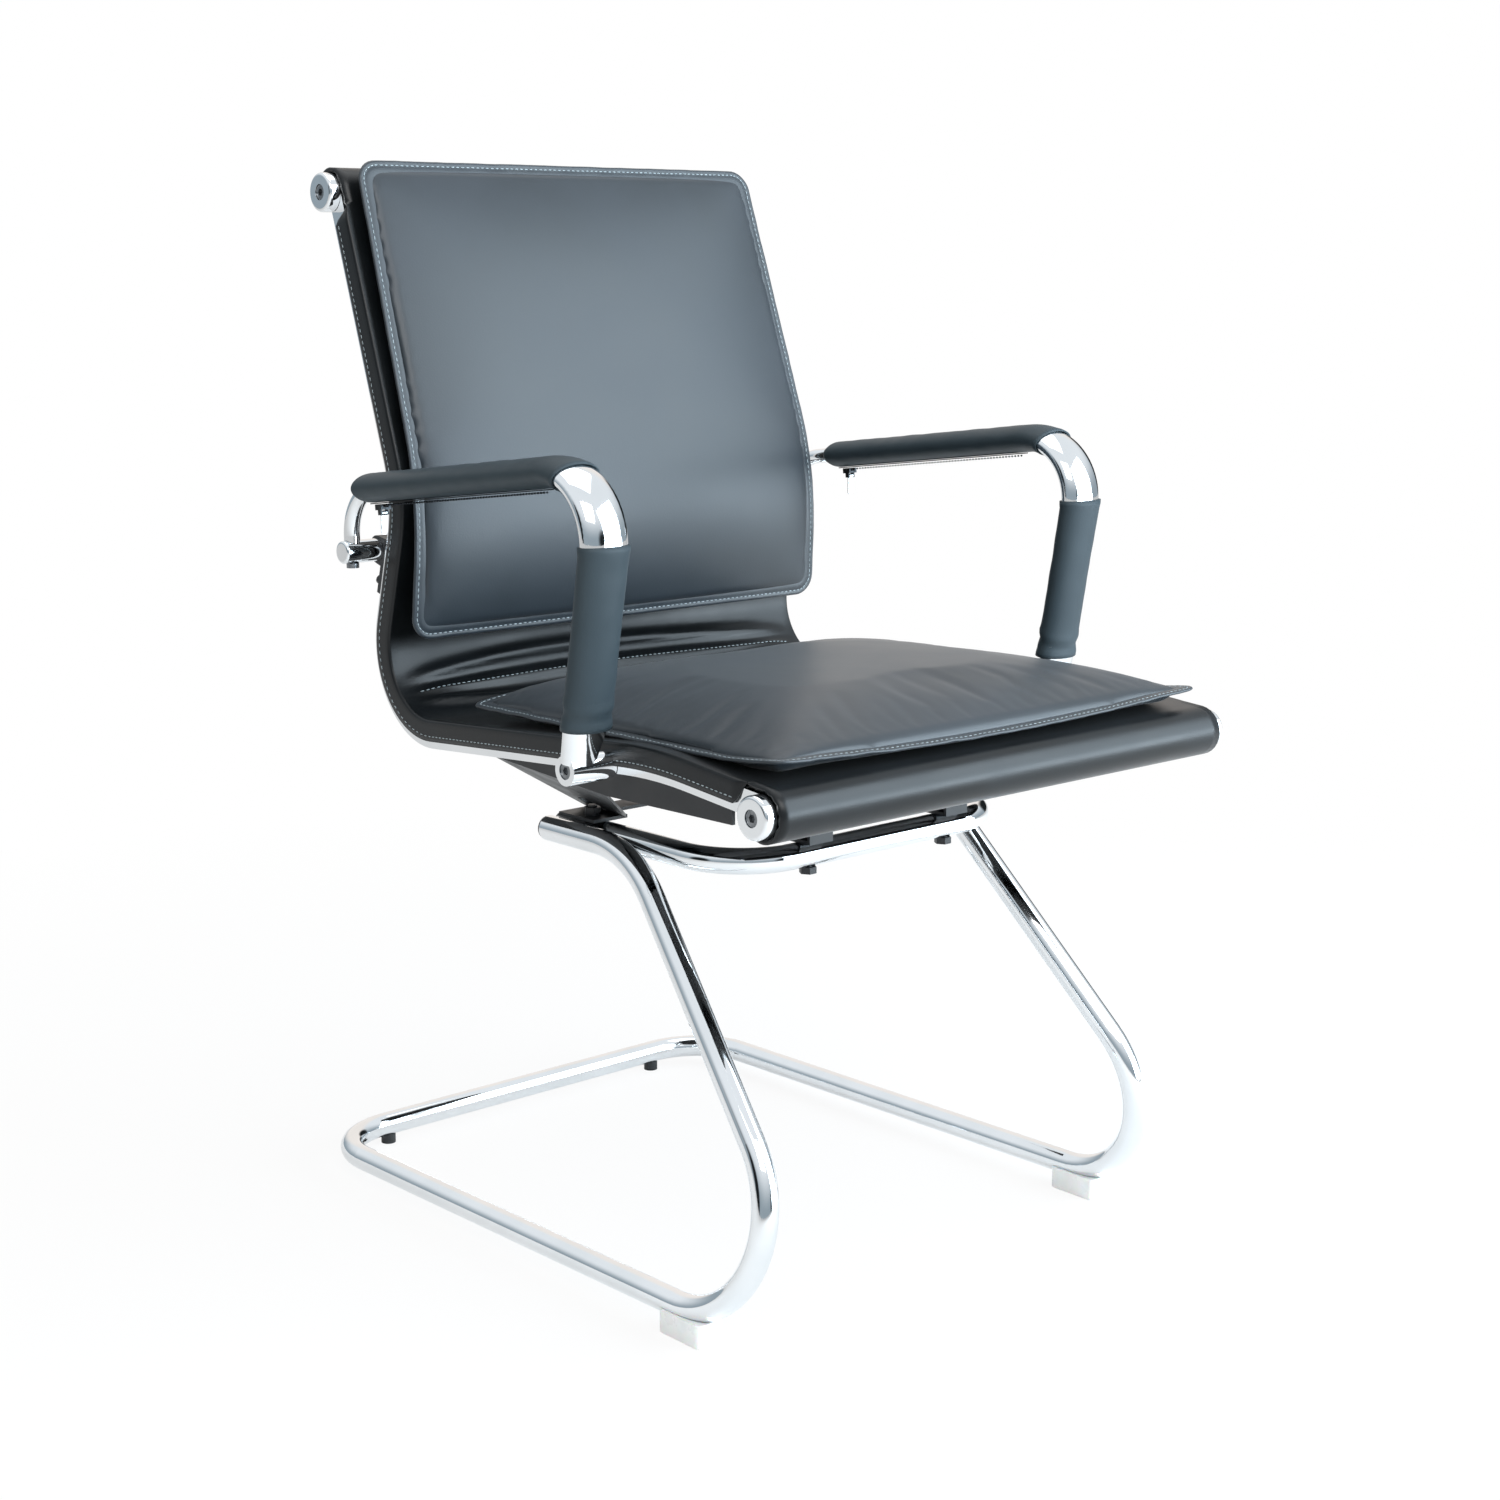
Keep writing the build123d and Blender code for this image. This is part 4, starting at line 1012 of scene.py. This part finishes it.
@dataclass
class Upholstery:
    """The sling and the two pads on it."""

    sizes: ChairSizes
    seat_ends: tuple[Pair, ...] = ((-320.0, 486.0), (86.0, 477.0))
    seat_halves: Pair = (246.0, 228.0)
    seat_corner_r: float = 13.0
    seat_rise: float = 23.0
    seat_front_sag: float = 9.0
    front_sag_reach: float = 45.0
    seat_side_sag: float = 6.0
    side_sag_across: Pair = (0.74, 0.98)
    side_sag_along: Pair = (-20.0, 70.0)
    back_ends: tuple[Pair, ...] = ((156.5, 520.0), (147.7, 643.0))
    back_lean_deg: float = 18.2
    back_upper: float = 301.0
    back_bend_r: float = 300.0
    back_halves: Pair = (238.0, 225.0)
    back_corner_r: float = 20.0
    back_rise: float = 17.0

    def seat_droop(self, across: float, distance: float) -> float:
        """Sag the seat pad at its front, between the corners, and along both sides.

        Args:
            across: Millimetres from the pad's middle line.
            distance: Millimetres along the pad's line.

        Returns:
            Millimetres upwards, so never above 0.
        """
        share = min(abs(across) / self.seat_halves[0], 1.0)
        at_front = 1 - ease(distance, 0.0, self.front_sag_reach)
        front = self.seat_front_sag * (1 - share ** 2) * at_front
        at_side = ease(share, *self.side_sag_across)
        sides = self.seat_side_sag * at_side * ease(distance, *self.side_sag_along)
        return -front - sides

    def pads(self, sling: Course) -> list[Pad]:
        """Describe both pads.

        Args:
            sling: The sling's line, which the pads lie on.

        Returns:
            The seat pad and the back pad.
        """
        top = leaning(self.back_ends[1], self.back_lean_deg, self.back_upper)
        back_line = Course((*self.back_ends, top), (self.back_bend_r,))
        seat = Pad(
            "seat_pad", Course(self.seat_ends, ()), self.seat_halves, self.seat_corner_r,
            self.seat_rise, sling, Stuffing(slack=-0.004), droop=self.seat_droop)
        back = Pad(
            "back_pad", back_line, self.back_halves, self.back_corner_r,
            self.back_rise, sling, Stuffing(move_cap_mm=4.0), dome_powers=(2.8, 0.5))
        return [seat, back]

    def build(self, wardrobe: Wardrobe) -> None:
        """Make and dress the sling and the pads.

        Args:
            wardrobe: Where the finishes come from.
        """
        sling = Sling(self.sizes)
        # The sling's darkened base colour is painted shade.
        wardrobe.give(sling.build(), SHADE_DARKENED_SLING_SKIN)
        wardrobe.give(sling.stitch_edges(), THREAD)
        LOG.info("sling")
        for pad in self.pads(sling.line):
            core, border, stitches = pad.build()
            wardrobe.give(core, LEATHERETTE)
            wardrobe.give(border, LEATHERETTE)
            wardrobe.give(stitches, THREAD)
            LOG.info("%s", pad.node)


@dataclass
class ArmCover:
    """Leatherette cover of a stretch of an arm: an oval tube of skin with hems and wrinkles."""

    node: str
    side: Side
    loop: Course
    start: float
    length: float
    arm_x: float
    half_width: float = 23.8
    half_height: float = 12.8
    skin: float = 1.5
    draw_in: float = 0.3
    hem: float = 0.5
    hem_length: float = 7.0
    hem_step: float = 2.0
    around: int = 56
    row_mm: float = 3.5
    closed_end: float = 0.0
    end_steps: int = 6
    end_insets: tuple[float, ...] = (8.6, 10.4, 12.2)
    link_offset: float = 13.5
    link_r: float = 7.3
    link_reach: float = 1.0
    link_core: float = 0.1
    wrinkle: float = 0.5
    wrinkle_mm: float = 17.0
    wrinkle_turns: float = 6.0
    plain_under: Pair = (0.10, 0.18)
    waist: float = 0.0
    crease_at: Optional[float] = None
    crease_sway: float = 5.0
    crease_width: float = 3.5
    crease_depth: float = 1.1
    crease_ridge: Pair = (0.7, 2.2)

    def swell(self, distance: float, share: float) -> float:
        """How far the skin stands out from the plain oval.

        Args:
            distance: Millimetres along the cover.
            share: Share of the way round from the underside.

        Returns:
            Millimetres outward.
        """
        under = ease(min(share, 1 - share), *self.plain_under)
        spot = Vector((distance / self.wrinkle_mm, self.wrinkle_turns * share, self.side.value))
        fold = self.wrinkle * noise.noise(spot) * under
        hem = 1 - ease(distance, self.hem_length - self.hem_step, self.hem_length)
        if not self.closed_end:
            inner = self.length - self.hem_length
            hem += ease(distance, inner, inner + self.hem_step)
        if self.crease_at is not None:
            sway = self.crease_sway * math.cos(2 * math.pi * share)
            gap = (distance - self.crease_at - sway) / self.crease_width
            height, apart = self.crease_ridge
            ridge = height * math.exp(-((gap - apart) ** 2))
            fold += ridge - self.crease_depth * math.exp(-gap * gap)
        middle = 2 * distance / self.length - 1
        waist = self.waist * (1 - middle * middle)
        return fold + self.hem * hem * under - waist - self.draw_in

    def surface(self, share: float, distance: float, inset: float) -> Vector:
        """Place on the cover's outer surface.

        Args:
            share: Share of the way round from the underside.
            distance: Millimetres along the cover.
            inset: Millimetres drawn in from the outline, where an end closes.

        Returns:
            The place in metres.
        """
        turn = 2 * math.pi * share - math.pi / 2
        level, up = math.cos(turn), math.sin(turn)
        spot = Vector((self.half_width * level, self.half_height * up))
        outward = Vector((level / self.half_width, up / self.half_height)).normalized()
        spot += outward * (-inset if inset else self.swell(distance, share))
        base, _, normal = self.loop.at(self.start + min(distance, self.length))
        return in_chair(self.side.value * (self.arm_x + spot.x), base + normal * spot.y)

    def stations(self) -> list[Pair]:
        """List the places along the cover where the grid has a row of points.

        Returns:
            Millimetres along the cover, each with how far the outline is drawn in there.
        """
        straight = self.length - self.closed_end
        steps = int(straight / self.row_mm)
        found = [(straight * step / steps, 0.0) for step in range(steps + 1)]
        if self.closed_end:
            for step in range(1, self.end_steps + 1):
                angle = math.pi / 2 * step / self.end_steps
                found.append((self.length - self.closed_end * (1 - math.sin(angle)),
                              self.closed_end * (1 - math.cos(angle))))
            found += [(self.length, inset) for inset in self.end_insets]
        return found

    def build(self) -> Piece:
        """Model the cover and put it on the chair.

        Returns:
            The cover's object.
        """
        stations = self.stations()
        mesh = bmesh.new()

        def place(column: float, row: float) -> Vector:
            """Place of a grid point."""
            share = (round(column) % self.around) / self.around
            return self.surface(share, *stations[round(row)])

        mapped_grid(mesh, self.around, len(stations) - 1, place)
        if self.closed_end:
            self.open_for_link(mesh)
        cover = finished(f"{self.node}_skin", mesh)
        wall = cover.modifiers.new("skin", "SOLIDIFY")
        wall.thickness = self.skin * MM
        wall.offset = -1.0
        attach(cover, CHAIR)
        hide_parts(self.node)
        return cover

    def open_for_link(self, mesh: Mesh) -> None:
        """Open the closed end where the arm's rear link comes out.

        Args:
            mesh: The cover's mesh.
        """
        end, along, normal = self.loop.at(self.start + self.length)
        axis_x = self.side.value * (self.arm_x - self.link_offset)
        inside = set()
        for vert in mesh.verts:
            spot = Vector((vert.co.y, vert.co.z)) / MM - end
            gap = Vector((vert.co.x / MM - axis_x, spot.dot(normal)))
            if spot.dot(along) > -self.link_reach and gap.length < self.link_r:
                inside.add(vert)
                aim = gap.normalized() if gap.length > self.link_core else Vector((0.0, 1.0))
                gap = aim * self.link_r
                vert.co = in_chair(
                    axis_x + gap.x, end + along * spot.dot(along) + normal * gap.y)
        cut = [face for face in mesh.faces if all(vert in inside for vert in face.verts)]
        bmesh.ops.delete(mesh, geom=cut, context="FACES")


@dataclass
class Zip:
    """The zip under an arm cover: woven tape and two rows of teeth."""

    side: Side
    line: Course
    start: float
    length: float
    arm_x: float
    low: float = -12.8
    tape_width: float = 14.0
    tape_t: float = 0.9
    tape_step: float = 8.0
    slit_half: float = 0.6
    tooth_pitch: float = 1.9
    tooth_size: Triple = (2.6, 1.3, 1.9)
    tooth_offset: float = 0.95
    tooth_drop: float = 1.6

    def at(self, across: float, distance: float, height: float) -> Vector:
        """Place by millimetres across the arm, along the cover and above its middle."""
        point, _, normal = self.line.at(distance)
        return in_chair(self.side.value * (self.arm_x + across), point + normal * height)

    def tape(self) -> Piece:
        """Model the woven tape.

        Returns:
            The tape.
        """
        half, slit, low = self.tape_width / 2, self.slit_half, self.low - self.tape_t
        section = (
            (-half, self.low), (-half, low), (-slit, low), (slit, low), (half, low),
            (half, self.low))
        rows = int(self.length / self.tape_step)
        mesh = bmesh.new()

        def place(column: float, row: float) -> Vector:
            """Place of a point of the tape."""
            across, height = section[round(column) % len(section)]
            return self.at(across, self.start + self.length * row / rows, height)

        mapped_grid(mesh, len(section), rows, place)
        bmesh.ops.holes_fill(mesh, edges=mesh.edges, sides=len(section))
        tape = finished(f"sleeve_zip_tape_{self.side.label}", mesh)
        for polygon in tape.data.polygons:
            polygon.use_smooth = False
        return tape

    def teeth(self) -> Piece:
        """Model the teeth, left and right in turn.

        Returns:
            The teeth.
        """
        mesh = bmesh.new()
        _, along, normal = self.line.at(self.start)
        turn = Matrix(((1, 0, 0), (0, *along), (0, *normal))).transposed().to_4x4()
        shape = Matrix.Diagonal((*(size * MM / 2 for size in self.tooth_size), 1.0))
        height = self.low - self.tape_t - self.tooth_drop
        for number in range(int(self.length / self.tooth_pitch)):
            across = self.tooth_offset if number % 2 else -self.tooth_offset
            spot = self.at(across, self.start + (number + 0.5) * self.tooth_pitch, height)
            bmesh.ops.create_icosphere(
                mesh, subdivisions=1, radius=1.0, matrix=Matrix.Translation(spot) @ turn @ shape)
        return finished(f"sleeve_zip_teeth_{self.side.label}", mesh, merge_mm=0.001)

    def build(self) -> tuple[Piece, Piece]:
        """Make the zip and put it on the chair.

        Returns:
            The tape and the teeth.
        """
        tape, teeth = self.tape(), self.teeth()
        for piece in (tape, teeth):
            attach(piece, CHAIR)
        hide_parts(f"sleeve_zip_{self.side.label}")
        return tape, teeth


@dataclass
class Arms:
    """Covers and zips of both arms."""

    arm_x: float = 273.98
    foot: Pair = (-127.0, 456.03)
    corner: Pair = (-169.2, 692.7)
    bend_r: float = 53.0
    slope_deg: float = 6.63
    rear_y: float = 157.0
    arm_wrap_deg: float = 28.0
    post_wrap_deg: float = 10.4
    post_low: float = 33.0
    zip_ends_y: Pair = (-86.0, 150.0)

    def loop(self) -> Course:
        """Draw the middle of an arm.

        Returns:
            The line from the arm's foot, round the front bend, to its cover's closed end.
        """
        drop = (self.rear_y - self.corner[0]) * math.tan(math.radians(self.slope_deg))
        rear = (self.rear_y, self.corner[1] - drop)
        return Course((self.foot, self.corner, rear), (self.bend_r,))

    def build(self, wardrobe: Wardrobe) -> None:
        """Make and dress all covers and zips.

        Args:
            wardrobe: Where the finishes come from.
        """
        loop = self.loop()
        post, bend, arm = loop.runs
        post_length = post.length - self.post_low + math.radians(self.post_wrap_deg) * self.bend_r
        wrap = math.radians(self.arm_wrap_deg) * self.bend_r
        arm_start = post.length + bend.length
        slope = math.cos(math.radians(self.slope_deg))
        zip_start, zip_end = (
            arm_start + (depth - arm.start.x) / slope for depth in self.zip_ends_y)
        for side in Side:
            arm_cover = ArmCover(
                f"arm_sleeve_{side.label}", side, loop, arm_start - wrap, arm.length + wrap,
                self.arm_x, closed_end=7.0)
            post_cover = ArmCover(
                f"post_sleeve_{side.label}", side, loop, self.post_low, post_length,
                self.arm_x, wrinkle=0.35, waist=0.6, crease_at=14.0)
            for cover in (arm_cover, post_cover):
                # The covers' lighter base colour is painted light.
                wardrobe.give(cover.build(), LIGHT_PAINTED_ARM_SKIN)
            tape, teeth = Zip(side, loop, zip_start, zip_end - zip_start, self.arm_x).build()
            wardrobe.give(tape, ZIP_TAPE)
            wardrobe.give(teeth, ZIP_METAL)
            LOG.info("arm covers and zip, %s", side.label)


class Metalwork:
    """The rigid solids, which keep their shape and get their finish."""

    FINISHES = {
        Slot.CHROME: CHROME, Slot.BLACK_PLASTIC: BLACK_PLASTIC,
        Slot.CLEAR_PLASTIC: MILKY_PLASTIC, Slot.BLACK_STEEL: POWDER_COAT,
        Slot.SCREW_STEEL: ZINC, Slot.LEATHERETTE: LEATHERETTE,
        Slot.ZIP_TAPE: ZIP_TAPE, Slot.ZIP_METAL: ZIP_METAL,
    }

    def dress(self, wardrobe: Wardrobe) -> None:
        """Give every solid the finish of its slot, and the zips' pulls their bare metal.

        Args:
            wardrobe: Where the finishes come from.
        """
        slots = {row["node"]: Slot(row["material_slot"]) for row in frame["record"]["subparts"]}
        for name, node in frame["nodes"].items():
            pull = name.startswith("zip_pull")
            wardrobe.give(node, PULL_METAL if pull else self.FINISHES[slots[name]])
        LOG.info("%d solids dressed", len(frame["nodes"]))


@dataclass(frozen=True)
class Patch:
    """A soft round patch of the surroundings, with the cosines where it starts and is full."""

    aim: Triple
    start: float
    full: float

    def share(self, tree: Tree, towards: Socket) -> Socket:
        """Draw the patch.

        Args:
            tree: The node tree of the surroundings.
            towards: The direction that is looked in.

        Returns:
            A socket that is 1 in the patch and 0 outside it.
        """
        dot = add_node(
            tree, "ShaderNodeVectorMath", {0: towards, 1: self.aim}, operation="DOT_PRODUCT")
        inputs = {"Value": dot.outputs["Value"], "From Min": self.start, "From Max": self.full}
        patch = add_node(tree, "ShaderNodeMapRange", inputs, interpolation_type="SMOOTHSTEP")
        return patch.outputs["Result"]


@dataclass(frozen=True)
class Lamp:
    """A soft box that looks at the chair, in metres and watts."""

    name: str
    place: Triple
    size: Pair
    power: float
    tint: str = "#ffffff"
    target: Triple = (0.0, 0.0, 0.5)

    def hang(self) -> None:
        """Add the lamp to the scene."""
        data = bpy.data.lights.new(self.name, "AREA")
        data.shape = "RECTANGLE"
        data.size, data.size_y = self.size
        data.energy = self.power
        data.color = linear(self.tint)[:3]
        lamp = bpy.data.objects.new(self.name, data)
        lamp.location = self.place
        aim = Vector(self.target) - Vector(self.place)
        lamp.rotation_euler = aim.to_track_quat("-Z", "Y").to_euler()
        bpy.context.scene.collection.objects.link(lamp)


@dataclass
class Studio:
    """Pale floor, soft light and the camera at the photograph's place."""

    eye_mm: Triple = (-1438.4, -1619.07, 845.14)
    yaw_deg: float = 41.93
    pitch_deg: float = 11.22
    lens_mm: float = 59.44
    sensor_mm: float = 36.0
    clip_m: Pair = (0.05, 100.0)
    floor_half_m: float = 12.0
    floor_colour: str = "#f4f4f3"
    floor_white: Pair = (0.88, 1.0)
    floor_white_m: Pair = (0.5, 1.7)
    floor_in_metal: float = 0.35
    room_light: float = 0.45
    room_colours: tuple[str, str] = ("#9ca9b2", "#f3f8fc")
    room_lift: Pair = (0.05, 0.6)
    panel_colour: str = "#fff8f2"
    rear_panel: Patch = Patch((0.62, 0.72, 0.32), 0.80, 0.97)
    flag_colour: str = "#1c2022"
    flags: tuple[Patch, ...] = (
        Patch((0.25, -0.96, 0.05), 0.955, 0.99), Patch((-0.98, 0.15, 0.1), 0.95, 0.985),
        Patch((0.93, 0.36, 0.1), 0.95, 0.985))
    lamps: tuple[Lamp, ...] = (
        Lamp("key_softbox", (-1.2, -2.6, 2.9), (2.2, 1.6), 55.0),
        Lamp("window", (1.5, -2.1, 1.38), (2.3, 2.6), 132.0, "#d9eaf6"),
        Lamp("low_strip", (1.45, -2.0, 0.40), (2.3, 0.6), 27.0, "#d9eaf6"),
        Lamp("top_softbox", (0.2, 0.3, 3.2), (2.4, 2.4), 24.0))

    def camera(self) -> None:
        """Place the camera."""
        data = bpy.data.cameras.new("photo_camera")
        data.lens = self.lens_mm
        data.sensor_width = self.sensor_mm
        data.clip_start, data.clip_end = self.clip_m
        camera = bpy.data.objects.new("photo_camera", data)
        yaw, pitch = math.radians(self.yaw_deg), math.radians(self.pitch_deg)
        level = math.cos(pitch)
        view = Vector((math.sin(yaw) * level, math.cos(yaw) * level, -math.sin(pitch)))
        camera.rotation_euler = view.to_track_quat("-Z", "Y").to_euler()
        camera.location = Vector(self.eye_mm) * MM
        bpy.context.scene.collection.objects.link(camera)
        bpy.context.scene.camera = camera

    def floor(self) -> None:
        """Lay a matt floor that the camera sees as white, with a shadow near the chair."""
        mesh = bmesh.new()
        bmesh.ops.create_grid(mesh, x_segments=1, y_segments=1, size=self.floor_half_m)
        floor = finished("studio_floor", mesh)
        material = bpy.data.materials.new("matt_white_studio_floor")
        material.use_nodes = True
        tree = material.node_tree
        tree.nodes.clear()
        rays = add_node(tree, "ShaderNodeLightPath").outputs
        place = add_node(tree, "ShaderNodeTexCoord").outputs["Object"]
        away = add_node(tree, "ShaderNodeVectorMath", {0: place}, operation="LENGTH")
        near, far = self.floor_white_m
        dim, full = self.floor_white
        white = add_node(tree, "ShaderNodeMapRange", {
            "Value": away.outputs["Value"], "From Min": near, "From Max": far,
            "To Min": dim, "To Max": full})
        seen = add_node(tree, "ShaderNodeMath", {
            0: rays["Is Camera Ray"], 1: rays["Is Transmission Ray"]}, operation="MAXIMUM")
        shown = add_node(tree, "ShaderNodeMath", {
            0: seen.outputs[0], 1: white.outputs["Result"]}, operation="MULTIPLY")
        mirrored = add_node(tree, "ShaderNodeMath", {
            0: rays["Is Glossy Ray"], 1: self.floor_in_metal}, operation="MULTIPLY")
        share = add_node(tree, "ShaderNodeMath", {
            0: shown.outputs[0], 1: mirrored.outputs[0]}, operation="MAXIMUM")
        matt = add_node(tree, "ShaderNodeBsdfDiffuse", {"Color": linear(self.floor_colour)})
        glow = add_node(tree, "ShaderNodeEmission", {"Color": linear("#ffffff"), "Strength": 1.0})
        mixed = add_node(tree, "ShaderNodeMixShader", {
            0: share.outputs[0], 1: matt.outputs[0], 2: glow.outputs[0]})
        add_node(tree, "ShaderNodeOutputMaterial", {"Surface": mixed.outputs[0]})
        floor.data.materials.append(material)

    def surroundings(self) -> None:
        """A white room for the camera, in which metal and skin see a panel and dark flags."""
        world = bpy.data.worlds.new("white_studio")
        world.use_nodes = True
        bpy.context.scene.world = world
        tree = world.node_tree
        tree.nodes.clear()
        rays = add_node(tree, "ShaderNodeLightPath").outputs
        towards = add_node(tree, "ShaderNodeTexCoord").outputs["Generated"]
        height = add_node(tree, "ShaderNodeSeparateXYZ", {0: towards}).outputs["Z"]
        low, high = self.room_lift
        lift = add_node(tree, "ShaderNodeMapRange", {
            "Value": height, "From Min": low, "From Max": high}, interpolation_type="SMOOTHSTEP")
        horizon, above = (linear(colour) for colour in self.room_colours)
        room = add_node(tree, "ShaderNodeMix", {
            0: lift.outputs["Result"], 6: horizon, 7: above}, data_type="RGBA")
        layers = [(self.rear_panel, self.panel_colour)]
        layers += [(flag, self.flag_colour) for flag in self.flags]
        for patch, colour in layers:
            room = add_node(tree, "ShaderNodeMix", {
                0: patch.share(tree, towards), 6: room.outputs[2], 7: linear(colour)},
                data_type="RGBA")
        seen = add_node(tree, "ShaderNodeMix", {
            0: rays["Is Glossy Ray"], 6: linear("#ffffff"), 7: room.outputs[2]}, data_type="RGBA")
        lit = add_node(tree, "ShaderNodeMapRange", {
            "Value": rays["Is Diffuse Ray"], "To Min": 1.0, "To Max": self.room_light})
        sky = add_node(tree, "ShaderNodeBackground", {
            "Color": seen.outputs[2], "Strength": lit.outputs["Result"]})
        add_node(tree, "ShaderNodeOutputWorld", {"Surface": sky.outputs[0]})

    def build(self) -> None:
        """Set the whole studio up."""
        bpy.context.scene.view_settings.view_transform = "Standard"
        self.camera()
        self.floor()
        for lamp in self.lamps:
            lamp.hang()
        self.surroundings()
        LOG.info("studio")


def main() -> None:
    """Build the studio, dress the solids and make the soft pieces."""
    logging.basicConfig(level=logging.INFO, format="%(name)s: %(message)s")
    wardrobe = Wardrobe()
    Studio().build()
    Metalwork().dress(wardrobe)
    Upholstery(ChairSizes()).build(wardrobe)
    Arms().build(wardrobe)


if __name__ == "__main__":
    main()
